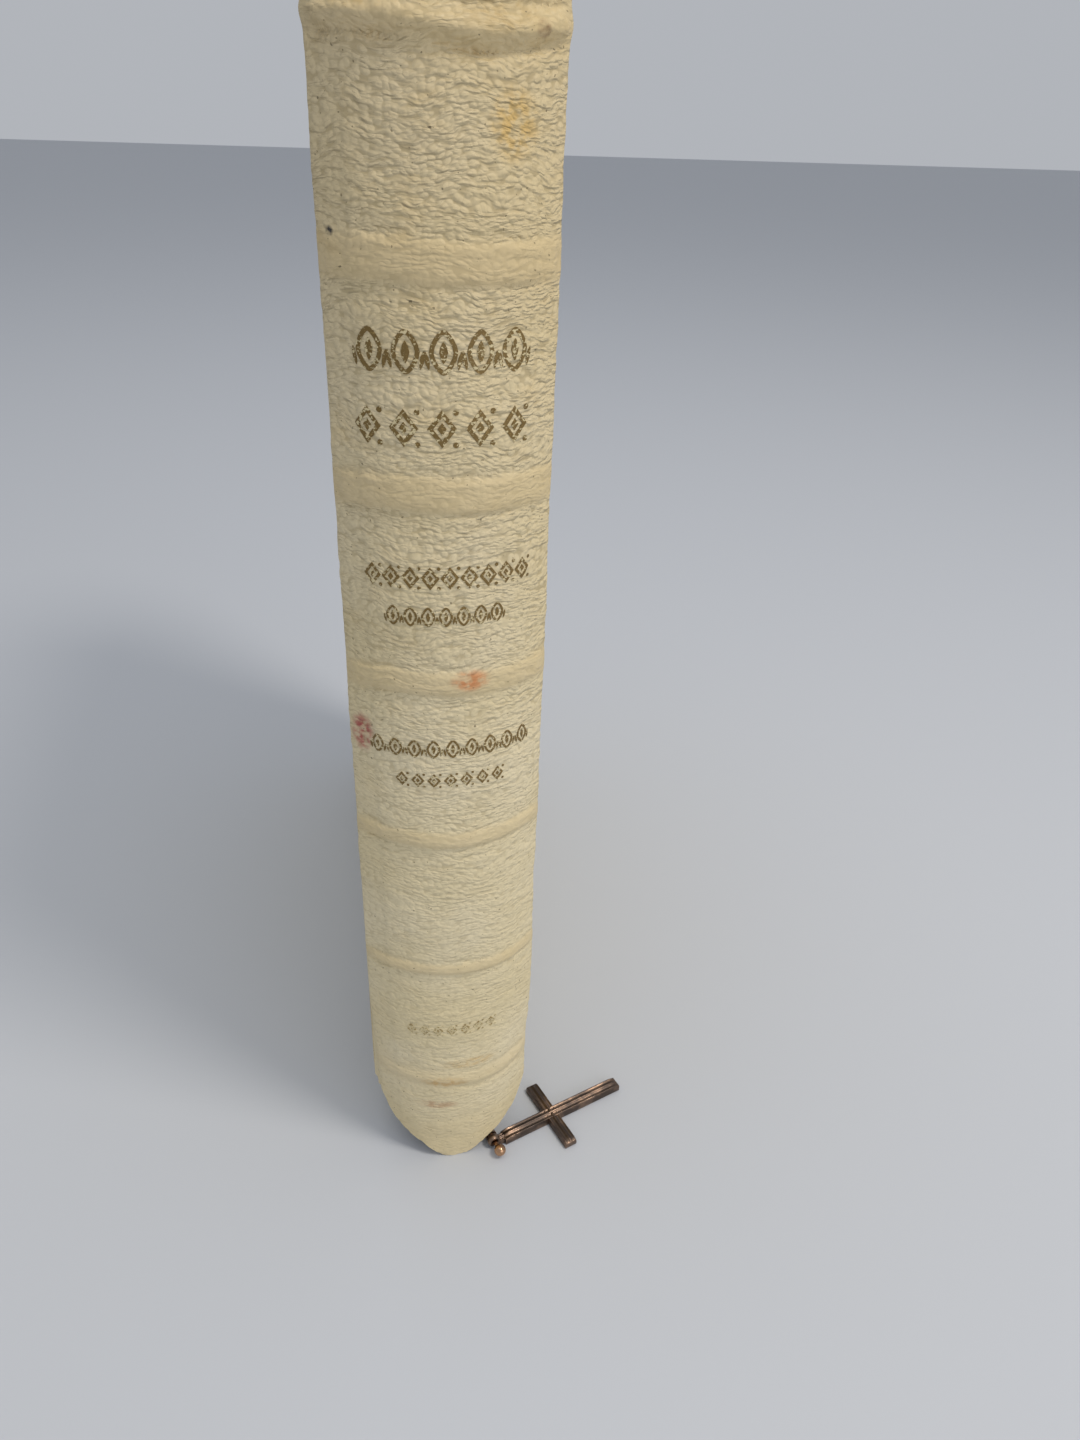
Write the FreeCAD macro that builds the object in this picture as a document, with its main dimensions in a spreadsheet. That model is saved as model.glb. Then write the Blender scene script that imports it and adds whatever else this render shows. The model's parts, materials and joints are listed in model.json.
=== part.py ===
import FreeCAD, Part
import math
import os
import Sketcher

os.makedirs("parts", exist_ok=True)
doc = FreeCAD.newDocument("zip_bible")
Vec = FreeCAD.Vector

# Sizes in millimetres and degrees. +Z runs up the spine, +Y from the spine to the fore-edge,
# +X towards the front cover. The origin is the middle of the small flat foot at the spine's tail.
SIZES = [
    ("book_height", 214),
    ("book_thickness", 29.5),
    ("fore_edge_y", 145),
    ("spine_round", 0.678),
    ("leather_thick", 1.1),
    ("side_flat", 1.55),
    ("joint_gap", 1.0),
    ("corner_radius", 22),
    ("tail_slope", 2.0),
    ("rim_gap_half", 4.5),
    ("rim_flat", 3.0),
    ("yapp_depth", 16),
    ("foot_half", 1.5),
    ("tongue_depth", 17),
    ("band_pitch", 28.2),
    ("band_width", 4.8),
    ("band_rise", 0.95),
    ("core_width", 3.4),
    ("core_height", 0.8),
    ("ridge_rise", 0.45),
    ("glue_gap", 0.05),
    ("air_gap", 0.35),
    ("board_thick", 1.3),
    ("pastedown_thick", 0.3),
    ("leaf_thick", 0.3),
    ("liner_thick", 0.8),
    ("mull_thick", 0.3),
    ("sewing_tape_thick", 0.25),
    ("sewing_tape_width", 12),
    ("block_height", 183),
    ("fore_margin", 14),
    ("signature_count", 10),
    ("band_bead", 0.9),
    ("zip_tape_thick", 0.5),
    ("zip_tape_inner", 1.3),
    ("zip_tape_outer", 8.0),
    ("tooth_pitch", 2.54),
    ("tooth_length", 1.25),
    ("tooth_inner", 1.1),
    ("tooth_outer", 2.4),
    ("chain_thick", 2.9),
    ("stitch_pitch", 3.0),
    ("stitch_length", 2.2),
    ("stitch_x", 6.4),
    ("slider_length", 9.0),
    ("slider_half_wide", 4.1),
    ("slider_half_narrow", 3.6),
    ("slider_plate", 0.85),
    ("slider_middle_y", 6.7),
    ("crown_drop", 1.45),
    ("crown_wire", 0.4),
    ("link_y", 4.2),
    ("link_wire", 0.35),
    ("pin_x", 7.7),
    ("pin_y", 0.5),
    ("pin_wire", 0.5),
    ("bead_radius", 1.15),
    ("cross_angle", 21),
    ("cross_to_bar", 13.4),
    ("cross_lower", 16.2),
    ("cross_bar_half", 7.9),
    ("cross_width", 2.6),
    ("cross_thick", 1.9),
]

# Sizes that follow from the ones above.
DERIVED = [
    ("half_thick", "=book_thickness / 2"),
    ("spine_radius", "=book_thickness * spine_round"),
    ("spine_centre_y", "=spine_radius - leather_thick / 2"),
    ("side_start_y", "=spine_centre_y - sqrt(spine_radius^2 - half_thick^2)"),
    ("spine_side_y", "=side_start_y + side_flat"),
    ("cover_start_y", "=spine_side_y + joint_gap"),
    ("board_x", "=half_thick - leather_thick - glue_gap - board_thick"),
    ("pastedown_x", "=board_x - glue_gap - pastedown_thick"),
    ("flyleaf_x", "=pastedown_x - air_gap - leaf_thick"),
    ("title_x", "=flyleaf_x - air_gap - leaf_thick"),
    ("block_half", "=title_x - air_gap"),
    ("liner_outer", "=spine_radius - leather_thick - glue_gap"),
    ("liner_inner", "=liner_outer - liner_thick"),
    ("mull_outer", "=liner_inner - 4 * glue_gap"),
    ("mull_inner", "=mull_outer - mull_thick"),
    ("block_back_radius", "=mull_inner - 2 * glue_gap - sewing_tape_thick"),
    ("block_low", "=(book_height - block_height) / 2"),
    ("block_high", "=book_height - block_low"),
    ("block_fore_y", "=fore_edge_y - fore_margin"),
    ("board_low", "=yapp_depth + 2.2"),
    ("board_high", "=book_height - board_low"),
    ("board_start_y", "=cover_start_y + 1"),
    ("board_fore_y", "=fore_edge_y - yapp_depth - 1.5"),
    ("leaf_start_y", "=cover_start_y + 0.7"),
    ("leaf_low", "=block_low + 0.5"),
    ("leaf_high", "=block_high - 0.5"),
    ("leaf_fore_y", "=block_fore_y - 0.5"),
]

sheet = doc.addObject("Spreadsheet::Sheet", "sizes")
row = 1
for alias, number in SIZES:
    sheet.set("A%d" % row, alias)
    sheet.set("B%d" % row, str(number))
    sheet.setAlias("B%d" % row, alias)
    row += 1
for alias, formula in DERIVED:
    sheet.set("A%d" % row, alias)
    sheet.set("B%d" % row, formula)
    sheet.setAlias("B%d" % row, alias)
    row += 1
doc.recompute()


def size(alias):
    return float(sheet.get(alias))


def addShape(name, shape):
    # A piece whose outline is worked out below from the sheet's sizes.
    piece = doc.addObject("Part::Feature", name)
    piece.Label = name
    piece.Shape = shape
    return piece


def addSlab(name, low_x, thick, low_y, high_y, low_z, high_z):
    # A flat sheet standing in the YZ plane: a bound rectangle padded along X.
    body = doc.addObject("PartDesign::Body", name)
    body.Label = name
    sketch = body.newObject("Sketcher::SketchObject", name + "_outline")
    plane = [f for f in body.Origin.OriginFeatures if f.Role == "YZ_Plane"][0]
    sketch.AttachmentSupport = [(plane, "")]
    sketch.MapMode = "FlatFace"
    corners = [Vec(0, 0, 0), Vec(10, 0, 0), Vec(10, 10, 0), Vec(0, 10, 0)]
    for i in range(4):
        sketch.addGeometry(Part.LineSegment(corners[i], corners[(i + 1) % 4]), False)
    for i in range(4):
        sketch.addConstraint(Sketcher.Constraint("Coincident", i, 2, (i + 1) % 4, 1))
    sketch.addConstraint(Sketcher.Constraint("Horizontal", 0))
    sketch.addConstraint(Sketcher.Constraint("Horizontal", 2))
    sketch.addConstraint(Sketcher.Constraint("Vertical", 1))
    sketch.addConstraint(Sketcher.Constraint("Vertical", 3))
    bound = [("DistanceX", low_y, 0, 1), ("DistanceX", high_y, 1, 1)]
    bound += [("DistanceY", low_z, 0, 1), ("DistanceY", high_z, 2, 1)]
    for kind, alias, edge, end in bound:
        number = sketch.addConstraint(Sketcher.Constraint(kind, -1, 1, edge, end, size(alias)))
        sketch.setExpression("Constraints[%d]" % number, "sizes." + alias)
    doc.recompute()
    pad = body.newObject("PartDesign::Pad", name + "_pad")
    pad.Profile = sketch
    pad.setExpression("Length", "sizes." + thick)
    body.setExpression("Placement.Base.x", low_x)
    body.Tip = pad
    doc.recompute()
    return body


def addArcShell(name, outer, inner, half_wide, low_z, high_z):
    # A piece of a tube about the spine's centre line, cut to the width that shows.
    solid = doc.addObject("Part::Cylinder", name + "_outside")
    hollow = doc.addObject("Part::Cylinder", name + "_inside")
    solid.setExpression("Radius", outer)
    hollow.setExpression("Radius", inner)
    for tube in (solid, hollow):
        tube.setExpression("Height", "(%s) - (%s)" % (high_z, low_z))
        tube.setExpression("Placement.Base.y", "sizes.spine_centre_y")
        tube.setExpression("Placement.Base.z", low_z)
    shell = doc.addObject("Part::Cut", name + "_tube")
    shell.Base = solid
    shell.Tool = hollow
    window = doc.addObject("Part::Box", name + "_window")
    window.setExpression("Length", "2 * (%s)" % half_wide)
    window.setExpression("Width", "sizes.spine_radius")
    window.setExpression("Height", "(%s) - (%s)" % (high_z, low_z))
    window.setExpression("Placement.Base.x", "-(%s)" % half_wide)
    window.setExpression("Placement.Base.y", "-sizes.spine_radius / 2")
    window.setExpression("Placement.Base.z", low_z)
    piece = doc.addObject("Part::Common", name)
    piece.Label = name
    piece.Base = shell
    piece.Tool = window
    doc.recompute()
    return piece


height = size("book_height")
half = size("half_thick")
leather = size("leather_thick")
glue = size("glue_gap")
slope = math.radians(size("tail_slope"))
turn_radius = size("corner_radius")
fore_y = size("fore_edge_y")
start_y = size("cover_start_y")
yapp = size("yapp_depth")
rim_in = size("rim_gap_half")
rim_out = rim_in + size("rim_flat")
centre_y = size("spine_centre_y")
radius = size("spine_radius")


# ---- The U-shaped edge of a cover ----
# The tail edge falls by tail_slope towards the fore-edge corner, which touches the table. The head
# edge mirrors it. An inset is measured inwards, square to the edge.
turn_y = fore_y - turn_radius
low_turn = Vec(0, turn_y, turn_radius)
high_turn = Vec(0, turn_y, height - turn_radius)


def edgePoints(inset, from_y):
    # Start, ends of the two corner arcs with their middles, and end of the U at this inset.
    reach = turn_radius - inset
    tail_normal = Vec(0, -math.sin(slope), -math.cos(slope))
    tail_turn = low_turn + tail_normal * reach
    tail_start = Vec(0, from_y, tail_turn.z + (tail_turn.y - from_y) * math.tan(slope))
    middle = Vec(0, math.sin(math.pi / 4 - slope / 2), -math.cos(math.pi / 4 - slope / 2))
    points = [tail_start, tail_turn, low_turn + middle * reach, low_turn + Vec(0, reach, 0)]
    mirrored = [Vec(0, p.y, height - p.z) for p in reversed(points)]
    return points + mirrored


def edgeWire(inset, from_y):
    p = edgePoints(inset, from_y)
    edges = [Part.makeLine(p[0], p[1])]
    edges.append(Part.Arc(p[1], p[2], p[3]).toShape())
    edges.append(Part.makeLine(p[3], p[4]))
    edges.append(Part.Arc(p[4], p[5], p[6]).toShape())
    edges.append(Part.makeLine(p[6], p[7]))
    return Part.Wire(edges)


def alongEdge(distance, inset):
    # The point this far along the U from its tail start, with the way it runs there.
    p = edgePoints(inset, start_y)
    reach = turn_radius - inset
    straight = (p[1] - p[0]).Length
    turn = reach * (math.pi / 2 + slope)
    upright = (p[4] - p[3]).Length
    if distance <= straight:
        way = (p[1] - p[0]).normalize()
        return p[0] + way * distance, way
    distance -= straight
    if distance <= turn:
        angle = -math.pi / 2 - slope + distance / reach
        out = Vec(0, math.cos(angle), math.sin(angle))
        return low_turn + out * reach, Vec(0, -out.z, out.y)
    distance -= turn
    if distance <= upright:
        return p[3] + Vec(0, 0, distance), Vec(0, 0, 1)
    distance -= upright
    if distance <= turn:
        angle = distance / reach
        out = Vec(0, math.cos(angle), math.sin(angle))
        return high_turn + out * reach, Vec(0, -out.z, out.y)
    distance -= turn
    way = (p[7] - p[6]).normalize()
    return p[6] + way * distance, way


def edgeLength(inset):
    p = edgePoints(inset, start_y)
    turn = (turn_radius - inset) * (math.pi / 2 + slope)
    return 2 * (p[1] - p[0]).Length + 2 * turn + (p[4] - p[3]).Length


def blockAt(distance, inset, run, low_x, high_x, deep):
    # A small block centred on a point of the U, deep across the edge and run along it.
    point, way = alongEdge(distance, inset)
    block = Part.makeBox(high_x - low_x, run, deep, Vec(low_x, -run / 2, -deep / 2))
    turn = FreeCAD.Rotation(Vec(0, 1, 0), way)
    block.Placement = FreeCAD.Placement(point, turn)
    return block


def sweepEdge(profile):
    # Sweeps a closed outline given as (x, inset) edges round the U, then trims it at the joint.
    early = start_y - 6
    path = edgeWire(0, early)
    start = edgePoints(0, early)[0]
    inwards = Vec(0, math.sin(slope), math.cos(slope))

    def place(x, inset):
        return start + Vec(x, 0, 0) + inwards * inset

    edges = []
    for kind, points in profile:
        placed = [place(x, inset) for x, inset in points]
        if kind == "line":
            edges.append(Part.makeLine(placed[0], placed[1]))
        else:
            curve = Part.BSplineCurve()
            curve.interpolate(placed)
            edges.append(curve.toShape())
    outline = Part.Wire(edges)
    swept = path.makePipeShell([outline], True, False)
    keep = Part.makeBox(4 * half, 2 * fore_y, 2 * height, Vec(-2 * half, start_y, -height / 2))
    return swept.common(keep)


def ellipsePoints(centre_x, wide, tall, rising):
    # A quarter of an ellipse from the rim's flat up to the cover's face.
    steps = 8
    points = []
    for i in range(steps + 1):
        angle = math.pi / 2 * i / steps
        points.append((centre_x + wide * math.sin(angle), yapp - tall * math.cos(angle)))
    if not rising:
        points.reverse()
    return points


# ---- Cover leather: a flat face with a curved yapp on its three free edges ----
notch_deep = 0.3
notch_low = size("stitch_x") - 0.35
notch_high = size("stitch_x") + 0.35
outer_curve = ellipsePoints(rim_out, half - rim_out, yapp, True)
inner_curve = ellipsePoints(rim_out, half - leather - rim_out, yapp - leather, False)
skirt_outline = [
    ("line", [(rim_in, 0), (notch_low, 0)]),
    ("line", [(notch_low, 0), (notch_low, notch_deep)]),
    ("line", [(notch_low, notch_deep), (notch_high, notch_deep)]),
    ("line", [(notch_high, notch_deep), (notch_high, 0)]),
    ("line", [(notch_high, 0), (rim_out, 0)]),
    ("curve", outer_curve),
    ("line", [(half, yapp), (half - leather, yapp)]),
    ("curve", inner_curve),
    ("line", [(rim_out, leather), (rim_in, leather)]),
    ("line", [(rim_in, leather), (rim_in, 0)]),
]
skirt = sweepEdge(skirt_outline)
face_wire = edgeWire(yapp, start_y)
face_ends = edgePoints(yapp, start_y)
face_outline = Part.Wire(face_wire.Edges + [Part.makeLine(face_ends[7], face_ends[0])])
face_plate = Part.Face(face_outline).extrude(Vec(leather, 0, 0))
face_plate.translate(Vec(half - leather, 0, 0))
cover_leather = skirt.fuse(face_plate).removeSplitter()
if cover_leather.ShapeType != "Solid":
    cover_leather = cover_leather.Solids[0]

across = Vec(1, 0, 0)
centre = Vec(0, 0, 0)
addShape("front_cover_leather", cover_leather)
addShape("back_cover_leather", cover_leather.mirror(centre, across))

# ---- Boards, pastedowns and the loose leaves ----
slabs = [
    ("board", "board_x", "board_thick", "board_start_y", "board_fore_y", "board_low", "board_high"),
    ("pastedown", "pastedown_x", "pastedown_thick", "board_start_y", "board_fore_y",
     "board_low", "board_high"),
    ("flyleaf", "flyleaf_x", "leaf_thick", "leaf_start_y", "leaf_fore_y", "leaf_low", "leaf_high"),
]
for kind, low_x, thick, low_y, high_y, low_z, high_z in slabs:
    front_x = "sizes." + low_x
    back_x = "-sizes.%s - sizes.%s" % (low_x, thick)
    addSlab("front_" + kind, front_x, thick, low_y, high_y, low_z, high_z)
    addSlab("back_" + kind, back_x, thick, low_y, high_y, low_z, high_z)
addSlab("title_leaf", "sizes.title_x", "leaf_thick", "leaf_start_y", "leaf_fore_y",
        "leaf_low", "leaf_high")

# ---- Zip: tapes, teeth, end stops and the stitching that holds the tapes ----
chain_inset = size("chain_thick") / 2 + 2 * glue
tape_low = chain_inset - size("zip_tape_thick") / 2
tape_high = chain_inset + size("zip_tape_thick") / 2
tape_in = size("zip_tape_inner")
tape_out = size("zip_tape_outer")
tape_corners = [(tape_in, tape_low), (tape_out, tape_low), (tape_out, tape_high), (tape_in, tape_high)]
tape_outline = []
for i in range(4):
    tape_outline.append(("line", [tape_corners[i], tape_corners[(i + 1) % 4]]))
tape = sweepEdge(tape_outline)
tooth_in = size("tooth_inner")
tooth_out = size("tooth_outer")
# Both rows start past the arc that the slider sweeps as it swings out with the back cover.
chain_length = edgeLength(chain_inset)
hinge_x = half + 0.15
hinge_y = size("spine_side_y") - 0.5
slider_reach = size("slider_length") / 2 + abs(size("slider_middle_y") - hinge_y)
sweep_radius = math.hypot(hinge_x + size("slider_half_wide"), slider_reach)
sweep_y = hinge_y + math.sqrt(sweep_radius ** 2 - (hinge_x + tooth_in) ** 2)
tooth_first = sweep_y - start_y + 3.2
tooth_last = chain_length - 4.0


def toothRow(shift):
    teeth = []
    place = tooth_first + shift
    slot_deep = size("zip_tape_thick") + 2 * glue
    while place < tooth_last:
        tooth = blockAt(place, chain_inset, size("tooth_length"), tooth_in, tooth_out,
                        size("chain_thick"))
        slot = blockAt(place, chain_inset, size("tooth_length") * 2, tape_in - glue, tooth_out * 2,
                       slot_deep)
        teeth.append(tooth.cut(slot))
        place += size("tooth_pitch")
    return Part.makeCompound(teeth)


def stitchRow():
    stitches = []
    place = 2.0
    while place < edgeLength(0) - 2.0:
        stitches.append(blockAt(place, notch_deep / 2, size("stitch_length"),
                                size("stitch_x") - 0.25, size("stitch_x") + 0.25, 0.16))
        place += size("stitch_pitch")
    return Part.makeCompound(stitches)


def zipStops(tail_place):
    stops = []
    for place in (tail_place, chain_length - 2.2):
        stop = blockAt(place, chain_inset, 1.6, tooth_in, tooth_out, size("chain_thick"))
        slot = blockAt(place, chain_inset, 4.0, tape_in - glue, tooth_out * 2,
                       size("zip_tape_thick") + 2 * glue)
        stops.append(stop.cut(slot))
    return Part.makeCompound(stops)


front_teeth = toothRow(0)
back_teeth = toothRow(size("tooth_pitch") / 2)
addShape("front_zip_tape", tape)
addShape("back_zip_tape", tape.mirror(centre, across))
addShape("front_zip_teeth", front_teeth)
addShape("back_zip_teeth", back_teeth.mirror(centre, across))
stops = zipStops(tooth_first - 1.9)
addShape("front_zip_stops", stops)
addShape("back_zip_stops", stops.mirror(centre, across))
stitching = stitchRow()
addShape("front_stitching", stitching)
addShape("back_stitching", stitching.mirror(centre, across))

# ---- Spine leather: a rounded back over raised bands, with a pointed tongue at each end ----


def ringPiece(points, half_angle):
    # An outline of (radius, z) points turned about the spine's centre line.
    corners = [Vec(0, centre_y - r, z) for r, z in points]
    outline = Part.makePolygon(corners + [corners[0]])
    ring = Part.Face(outline).revolve(Vec(0, centre_y, 0), Vec(0, 0, 1), 2 * half_angle)
    ring.rotate(Vec(0, centre_y, 0), Vec(0, 0, 1), -half_angle)
    return ring


def bandHump(middle, wide, rise):
    # The outside of the leather as it passes over a cord, from below to above.
    return [
        (radius, middle - wide / 2 - 0.5),
        (radius + rise * 0.7, middle - wide / 2 + 0.3),
        (radius + rise, middle - wide / 4),
        (radius + rise, middle + wide / 4),
        (radius + rise * 0.7, middle + wide / 2 - 0.3),
        (radius, middle + wide / 2 + 0.5),
    ]


def coreBed(middle):
    # The hollow on the inside of the leather that a cord lies in, from above to below.
    reach = size("core_width") / 2 + glue
    depth = core_base + size("core_height") + glue
    return [(core_base, middle + reach), (depth, middle + reach),
            (depth, middle - reach), (core_base, middle - reach)]


spine_angle = math.degrees(math.asin(half / radius))
core_base = radius - leather
core_angle = spine_angle - 9
band_middles = [height / 2 + (i - 2) * size("band_pitch") for i in range(5)]
low_ridge = height / 2 - 3 * size("band_pitch")
high_ridge = height / 2 + 3 * size("band_pitch")

section = [(core_base, 0), (radius, 0)]
section += bandHump(low_ridge, 3.0, size("ridge_rise"))
for middle in band_middles:
    section += bandHump(middle, size("band_width"), size("band_rise"))
section += bandHump(high_ridge, 3.0, size("ridge_rise"))
section += [(radius, height), (core_base, height)]
for middle in reversed(band_middles):
    section += coreBed(middle)
spine = ringPiece(section, spine_angle)
for low_x in (-half, half - leather):
    side = Part.makeBox(leather, size("side_flat"), height, Vec(low_x, size("side_start_y"), 0))
    spine = spine.fuse(side)

cores = []
for middle in band_middles:
    low = middle - size("core_width") / 2
    high = middle + size("core_width") / 2
    core = [(core_base, low), (core_base + size("core_height"), low),
            (core_base + size("core_height"), high), (core_base, high)]
    cores.append(ringPiece(core, core_angle))
addShape("raised_bands", Part.makeCompound(cores))

# The tongue's edge, as shares of the half width and of the tongue's depth.
foot = size("foot_half")
tongue = size("tongue_depth")
tongue_edge = [(foot, 0)]
for share_x, share_z in ((0.37, 0.165), (0.64, 0.294), (0.91, 0.547), (1.0, 0.85)):
    tongue_edge.append((half * share_x, tongue * share_z))
tongue_edge.append((half + 3, tongue))
right_side = [Vec(x, 0, z) for x, z in tongue_edge]
right_side += [Vec(x, 0, height - z) for x, z in reversed(tongue_edge)]
left_side = [Vec(-p.x, 0, p.z) for p in reversed(right_side)]
outline = right_side + left_side
tongue_face = Part.Face(Part.makePolygon(outline + [outline[0]]))
tongue_face.translate(Vec(0, -radius, 0))
spine = spine.common(tongue_face.extrude(Vec(0, 2 * radius, 0)))
if spine.ShapeType != "Solid":
    spine = spine.Solids[0]
addShape("spine_leather", spine)

# ---- Inside the spine ----
liner_low = "sizes.book_height / 2 - 3 * sizes.band_pitch - 2"
liner_high = "sizes.book_height / 2 + 3 * sizes.band_pitch + 2"
addArcShell("spine_liner", "sizes.liner_outer", "sizes.liner_inner", "sizes.half_thick - 3.2",
            liner_low, liner_high)
addArcShell("mull", "sizes.mull_outer", "sizes.mull_inner", "sizes.block_half - 0.6",
            "sizes.block_low + 14", "sizes.block_high - 14")

tape_outer = size("mull_inner") - glue
tape_inner_radius = tape_outer - size("sewing_tape_thick")
sewing_tapes = []
for share in (0.27, 0.5, 0.73):
    middle = size("block_low") + share * size("block_height")
    low = middle - size("sewing_tape_width") / 2
    high = middle + size("sewing_tape_width") / 2
    angle = math.degrees(math.asin((size("block_half") - 0.8) / tape_outer))
    strip = [(tape_inner_radius, low), (tape_outer, low), (tape_outer, high), (tape_inner_radius, high)]
    sewing_tapes.append(ringPiece(strip, angle))
addShape("sewing_tapes", Part.makeCompound(sewing_tapes))

# ---- Text block: sewn signatures with a rounded back ----
count = int(size("signature_count"))
leaf_wide = 2 * size("block_half") / count
back_radius = size("block_back_radius")
round_back = Part.makeCylinder(back_radius, height, Vec(0, centre_y, 0))
straight_part = Part.makeBox(4 * half, fore_y, height, Vec(-2 * half, centre_y, 0))
back_form = round_back.fuse(straight_part)
signatures = []
for i in range(count):
    low_x = -size("block_half") + i * leaf_wide + 0.02
    gathering = Part.makeBox(leaf_wide - 0.04, size("block_fore_y"), size("block_height"),
                             Vec(low_x, 0, size("block_low")))
    signatures.append(gathering.common(back_form).Solids[0])
addShape("signatures", Part.makeCompound(signatures))

# ---- Head and tail bands: sewn beads over the ends of the block's back ----
bead_places = [("headband", "sizes.block_high + sizes.band_bead + sizes.glue_gap"),
               ("tailband", "sizes.block_low - sizes.band_bead - sizes.glue_gap")]
bead_reach = size("block_back_radius") - 1.1
bead_angle = math.degrees(math.asin((size("block_half") - 1.0) / bead_reach))
for name, place in bead_places:
    bead = doc.addObject("Part::Torus", name)
    bead.Label = name
    bead.setExpression("Radius1", "sizes.block_back_radius - 1.1")
    bead.setExpression("Radius2", "sizes.band_bead")
    bead.Angle3 = 2 * bead_angle
    bead.Placement = FreeCAD.Placement(Vec(0, centre_y, 0),
                                       FreeCAD.Rotation(Vec(0, 0, 1), -90 - bead_angle))
    bead.setExpression("Placement.Base.y", "sizes.spine_centre_y")
    bead.setExpression("Placement.Base.z", place)

# ---- Zip slider, built about the chain's centre line and then laid on the tail edge ----
long_half = size("slider_length") / 2
wide = size("slider_half_wide")
narrow = size("slider_half_narrow")
plate = size("slider_plate")
channel = size("chain_thick") / 2 + 0.3
rail = 0.75
rail_high = 0.85


def sliderPlate(low_z):
    corners = [(-wide + 0.8, -long_half), (wide - 0.8, -long_half), (wide, -long_half + 1.4),
               (narrow, long_half - 0.6), (narrow - 0.6, long_half), (-narrow + 0.6, long_half),
               (-narrow, long_half - 0.6), (-wide, -long_half + 1.4)]
    points = [Vec(x, y, low_z) for x, y in corners]
    return Part.Face(Part.makePolygon(points + [points[0]])).extrude(Vec(0, 0, plate))


def sliderRail(side, low_z):
    corners = [(wide - rail, -long_half + 1.6), (wide, -long_half + 1.6),
               (narrow, long_half - 0.7), (narrow - rail, long_half - 0.7)]
    points = [Vec(side * x, y, low_z) for x, y in corners]
    return Part.Face(Part.makePolygon(points + [points[0]])).extrude(Vec(0, 0, rail_high))


bar_drop = channel + plate + size("crown_drop")
slider = sliderPlate(channel).fuse(sliderPlate(-channel - plate))
for side in (-1, 1):
    slider = slider.fuse(sliderRail(side, channel - rail_high))
    slider = slider.fuse(sliderRail(side, -channel))
slider = slider.fuse(Part.makeBox(1.5, 1.8, 2 * channel, Vec(-0.75, -long_half + 0.1, -channel)))
wire = size("crown_wire")
for foot_y in (-long_half + 0.5, long_half - 2.3):
    slider = slider.fuse(Part.makeBox(2 * wire, 0.8, size("crown_drop") + wire,
                                      Vec(-wire, foot_y, -bar_drop - wire)))
slider = slider.fuse(Part.makeCylinder(wire, size("slider_length") - 2.0,
                                       Vec(0, -long_half + 0.5, -bar_drop), Vec(0, 1, 0)))
slider = slider.removeSplitter()

edge_start = edgePoints(chain_inset, size("slider_middle_y"))[0]
lay_down = FreeCAD.Rotation(Vec(1, 0, 0), -size("tail_slope"))
slider.Placement = FreeCAD.Placement(edge_start, lay_down)
addShape("slider", slider)

# ---- Pull: a link on the slider's crown, a ball-ended pin, and a cross lying on the table ----
bar_offset = (size("link_y") - edge_start.y) / math.cos(slope)
bar_point = edge_start + lay_down.multVec(Vec(0, bar_offset, -bar_drop))
bar_way = lay_down.multVec(Vec(0, 1, 0))
ring_reach = 0.95
ring_centre = Vec(0, bar_point.y, bar_point.z)
link_ring = Part.makeTorus(ring_reach, size("link_wire"), ring_centre, bar_way)
pin_height = ring_centre.z
pin_middle = Vec(size("pin_x"), size("pin_y"), pin_height)
cross_way = Vec(math.cos(math.radians(size("cross_angle"))), math.sin(math.radians(size("cross_angle"))), 0)
pin_way = Vec(cross_way.y, -cross_way.x, 0)
link_eye = pin_middle - pin_way * 1.45
rod_start = ring_centre + Vec(ring_reach + 0.1, 0, 0)
rod_way = link_eye - rod_start
rod = Part.makeCylinder(0.45, rod_way.Length - 0.9, rod_start, rod_way)
eye = Part.makeCylinder(1.2, 0.9, link_eye - pin_way * 0.45, pin_way)
pin_hole = Part.makeCylinder(size("pin_wire") + 0.05, 6, pin_middle - pin_way * 3, pin_way)
link = link_ring.fuse(rod).fuse(eye).cut(pin_hole)
if link.ShapeType != "Solid":
    link = link.Solids[0]
addShape("pull_link", link)

pin_far = 1.9
ball_place = 2.7
pin = Part.makeCylinder(size("pin_wire"), pin_far + ball_place, pin_middle - pin_way * pin_far, pin_way)
pin = pin.fuse(Part.makeSphere(size("bead_radius"), pin_middle + pin_way * ball_place))
addShape("pull_pin", pin)


def crossArm(start, end, half_wide, base_z):
    # A square-ended bar with a low ridge along its middle.
    way = end - start
    side = Vec(-way.y, way.x, 0).normalize()
    low = Vec(0, 0, base_z)
    shoulder = Vec(0, 0, base_z + size("cross_thick") * 0.68)
    top = Vec(0, 0, base_z + size("cross_thick"))
    points = [start + low - side * half_wide, start + low + side * half_wide,
              start + shoulder + side * half_wide, start + top, start + shoulder - side * half_wide]
    return Part.Face(Part.makePolygon(points + [points[0]])).extrude(way)


base_z = 0.1
pin_foot = Vec(pin_middle.x, pin_middle.y, 0)
side_way = Vec(-cross_way.y, cross_way.x, 0)
crossing = pin_foot + cross_way * size("cross_to_bar")
arm_half = size("cross_width") / 2
long_end = crossing + cross_way * size("cross_lower")
cross = crossArm(pin_foot + cross_way * 2.4, long_end, arm_half, base_z)
bar_low = crossing - side_way * size("cross_bar_half")
bar_high = crossing + side_way * size("cross_bar_half")
cross = cross.fuse(crossArm(bar_low, bar_high, arm_half, base_z))
neck = crossArm(pin_foot + cross_way * 0.9, pin_foot + cross_way * 2.6, 0.8, base_z)
barrel = Part.makeCylinder(1.3, 1.6, pin_middle - pin_way * 0.8, pin_way)
running_hole = Part.makeCylinder(size("pin_wire") + 0.08, 6, pin_middle - pin_way * 3, pin_way)
cross = cross.fuse(neck).fuse(barrel).cut(running_hole)
if cross.ShapeType != "Solid":
    cross = cross.Solids[0]
addShape("pull_cross", cross)

doc.recompute()

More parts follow.
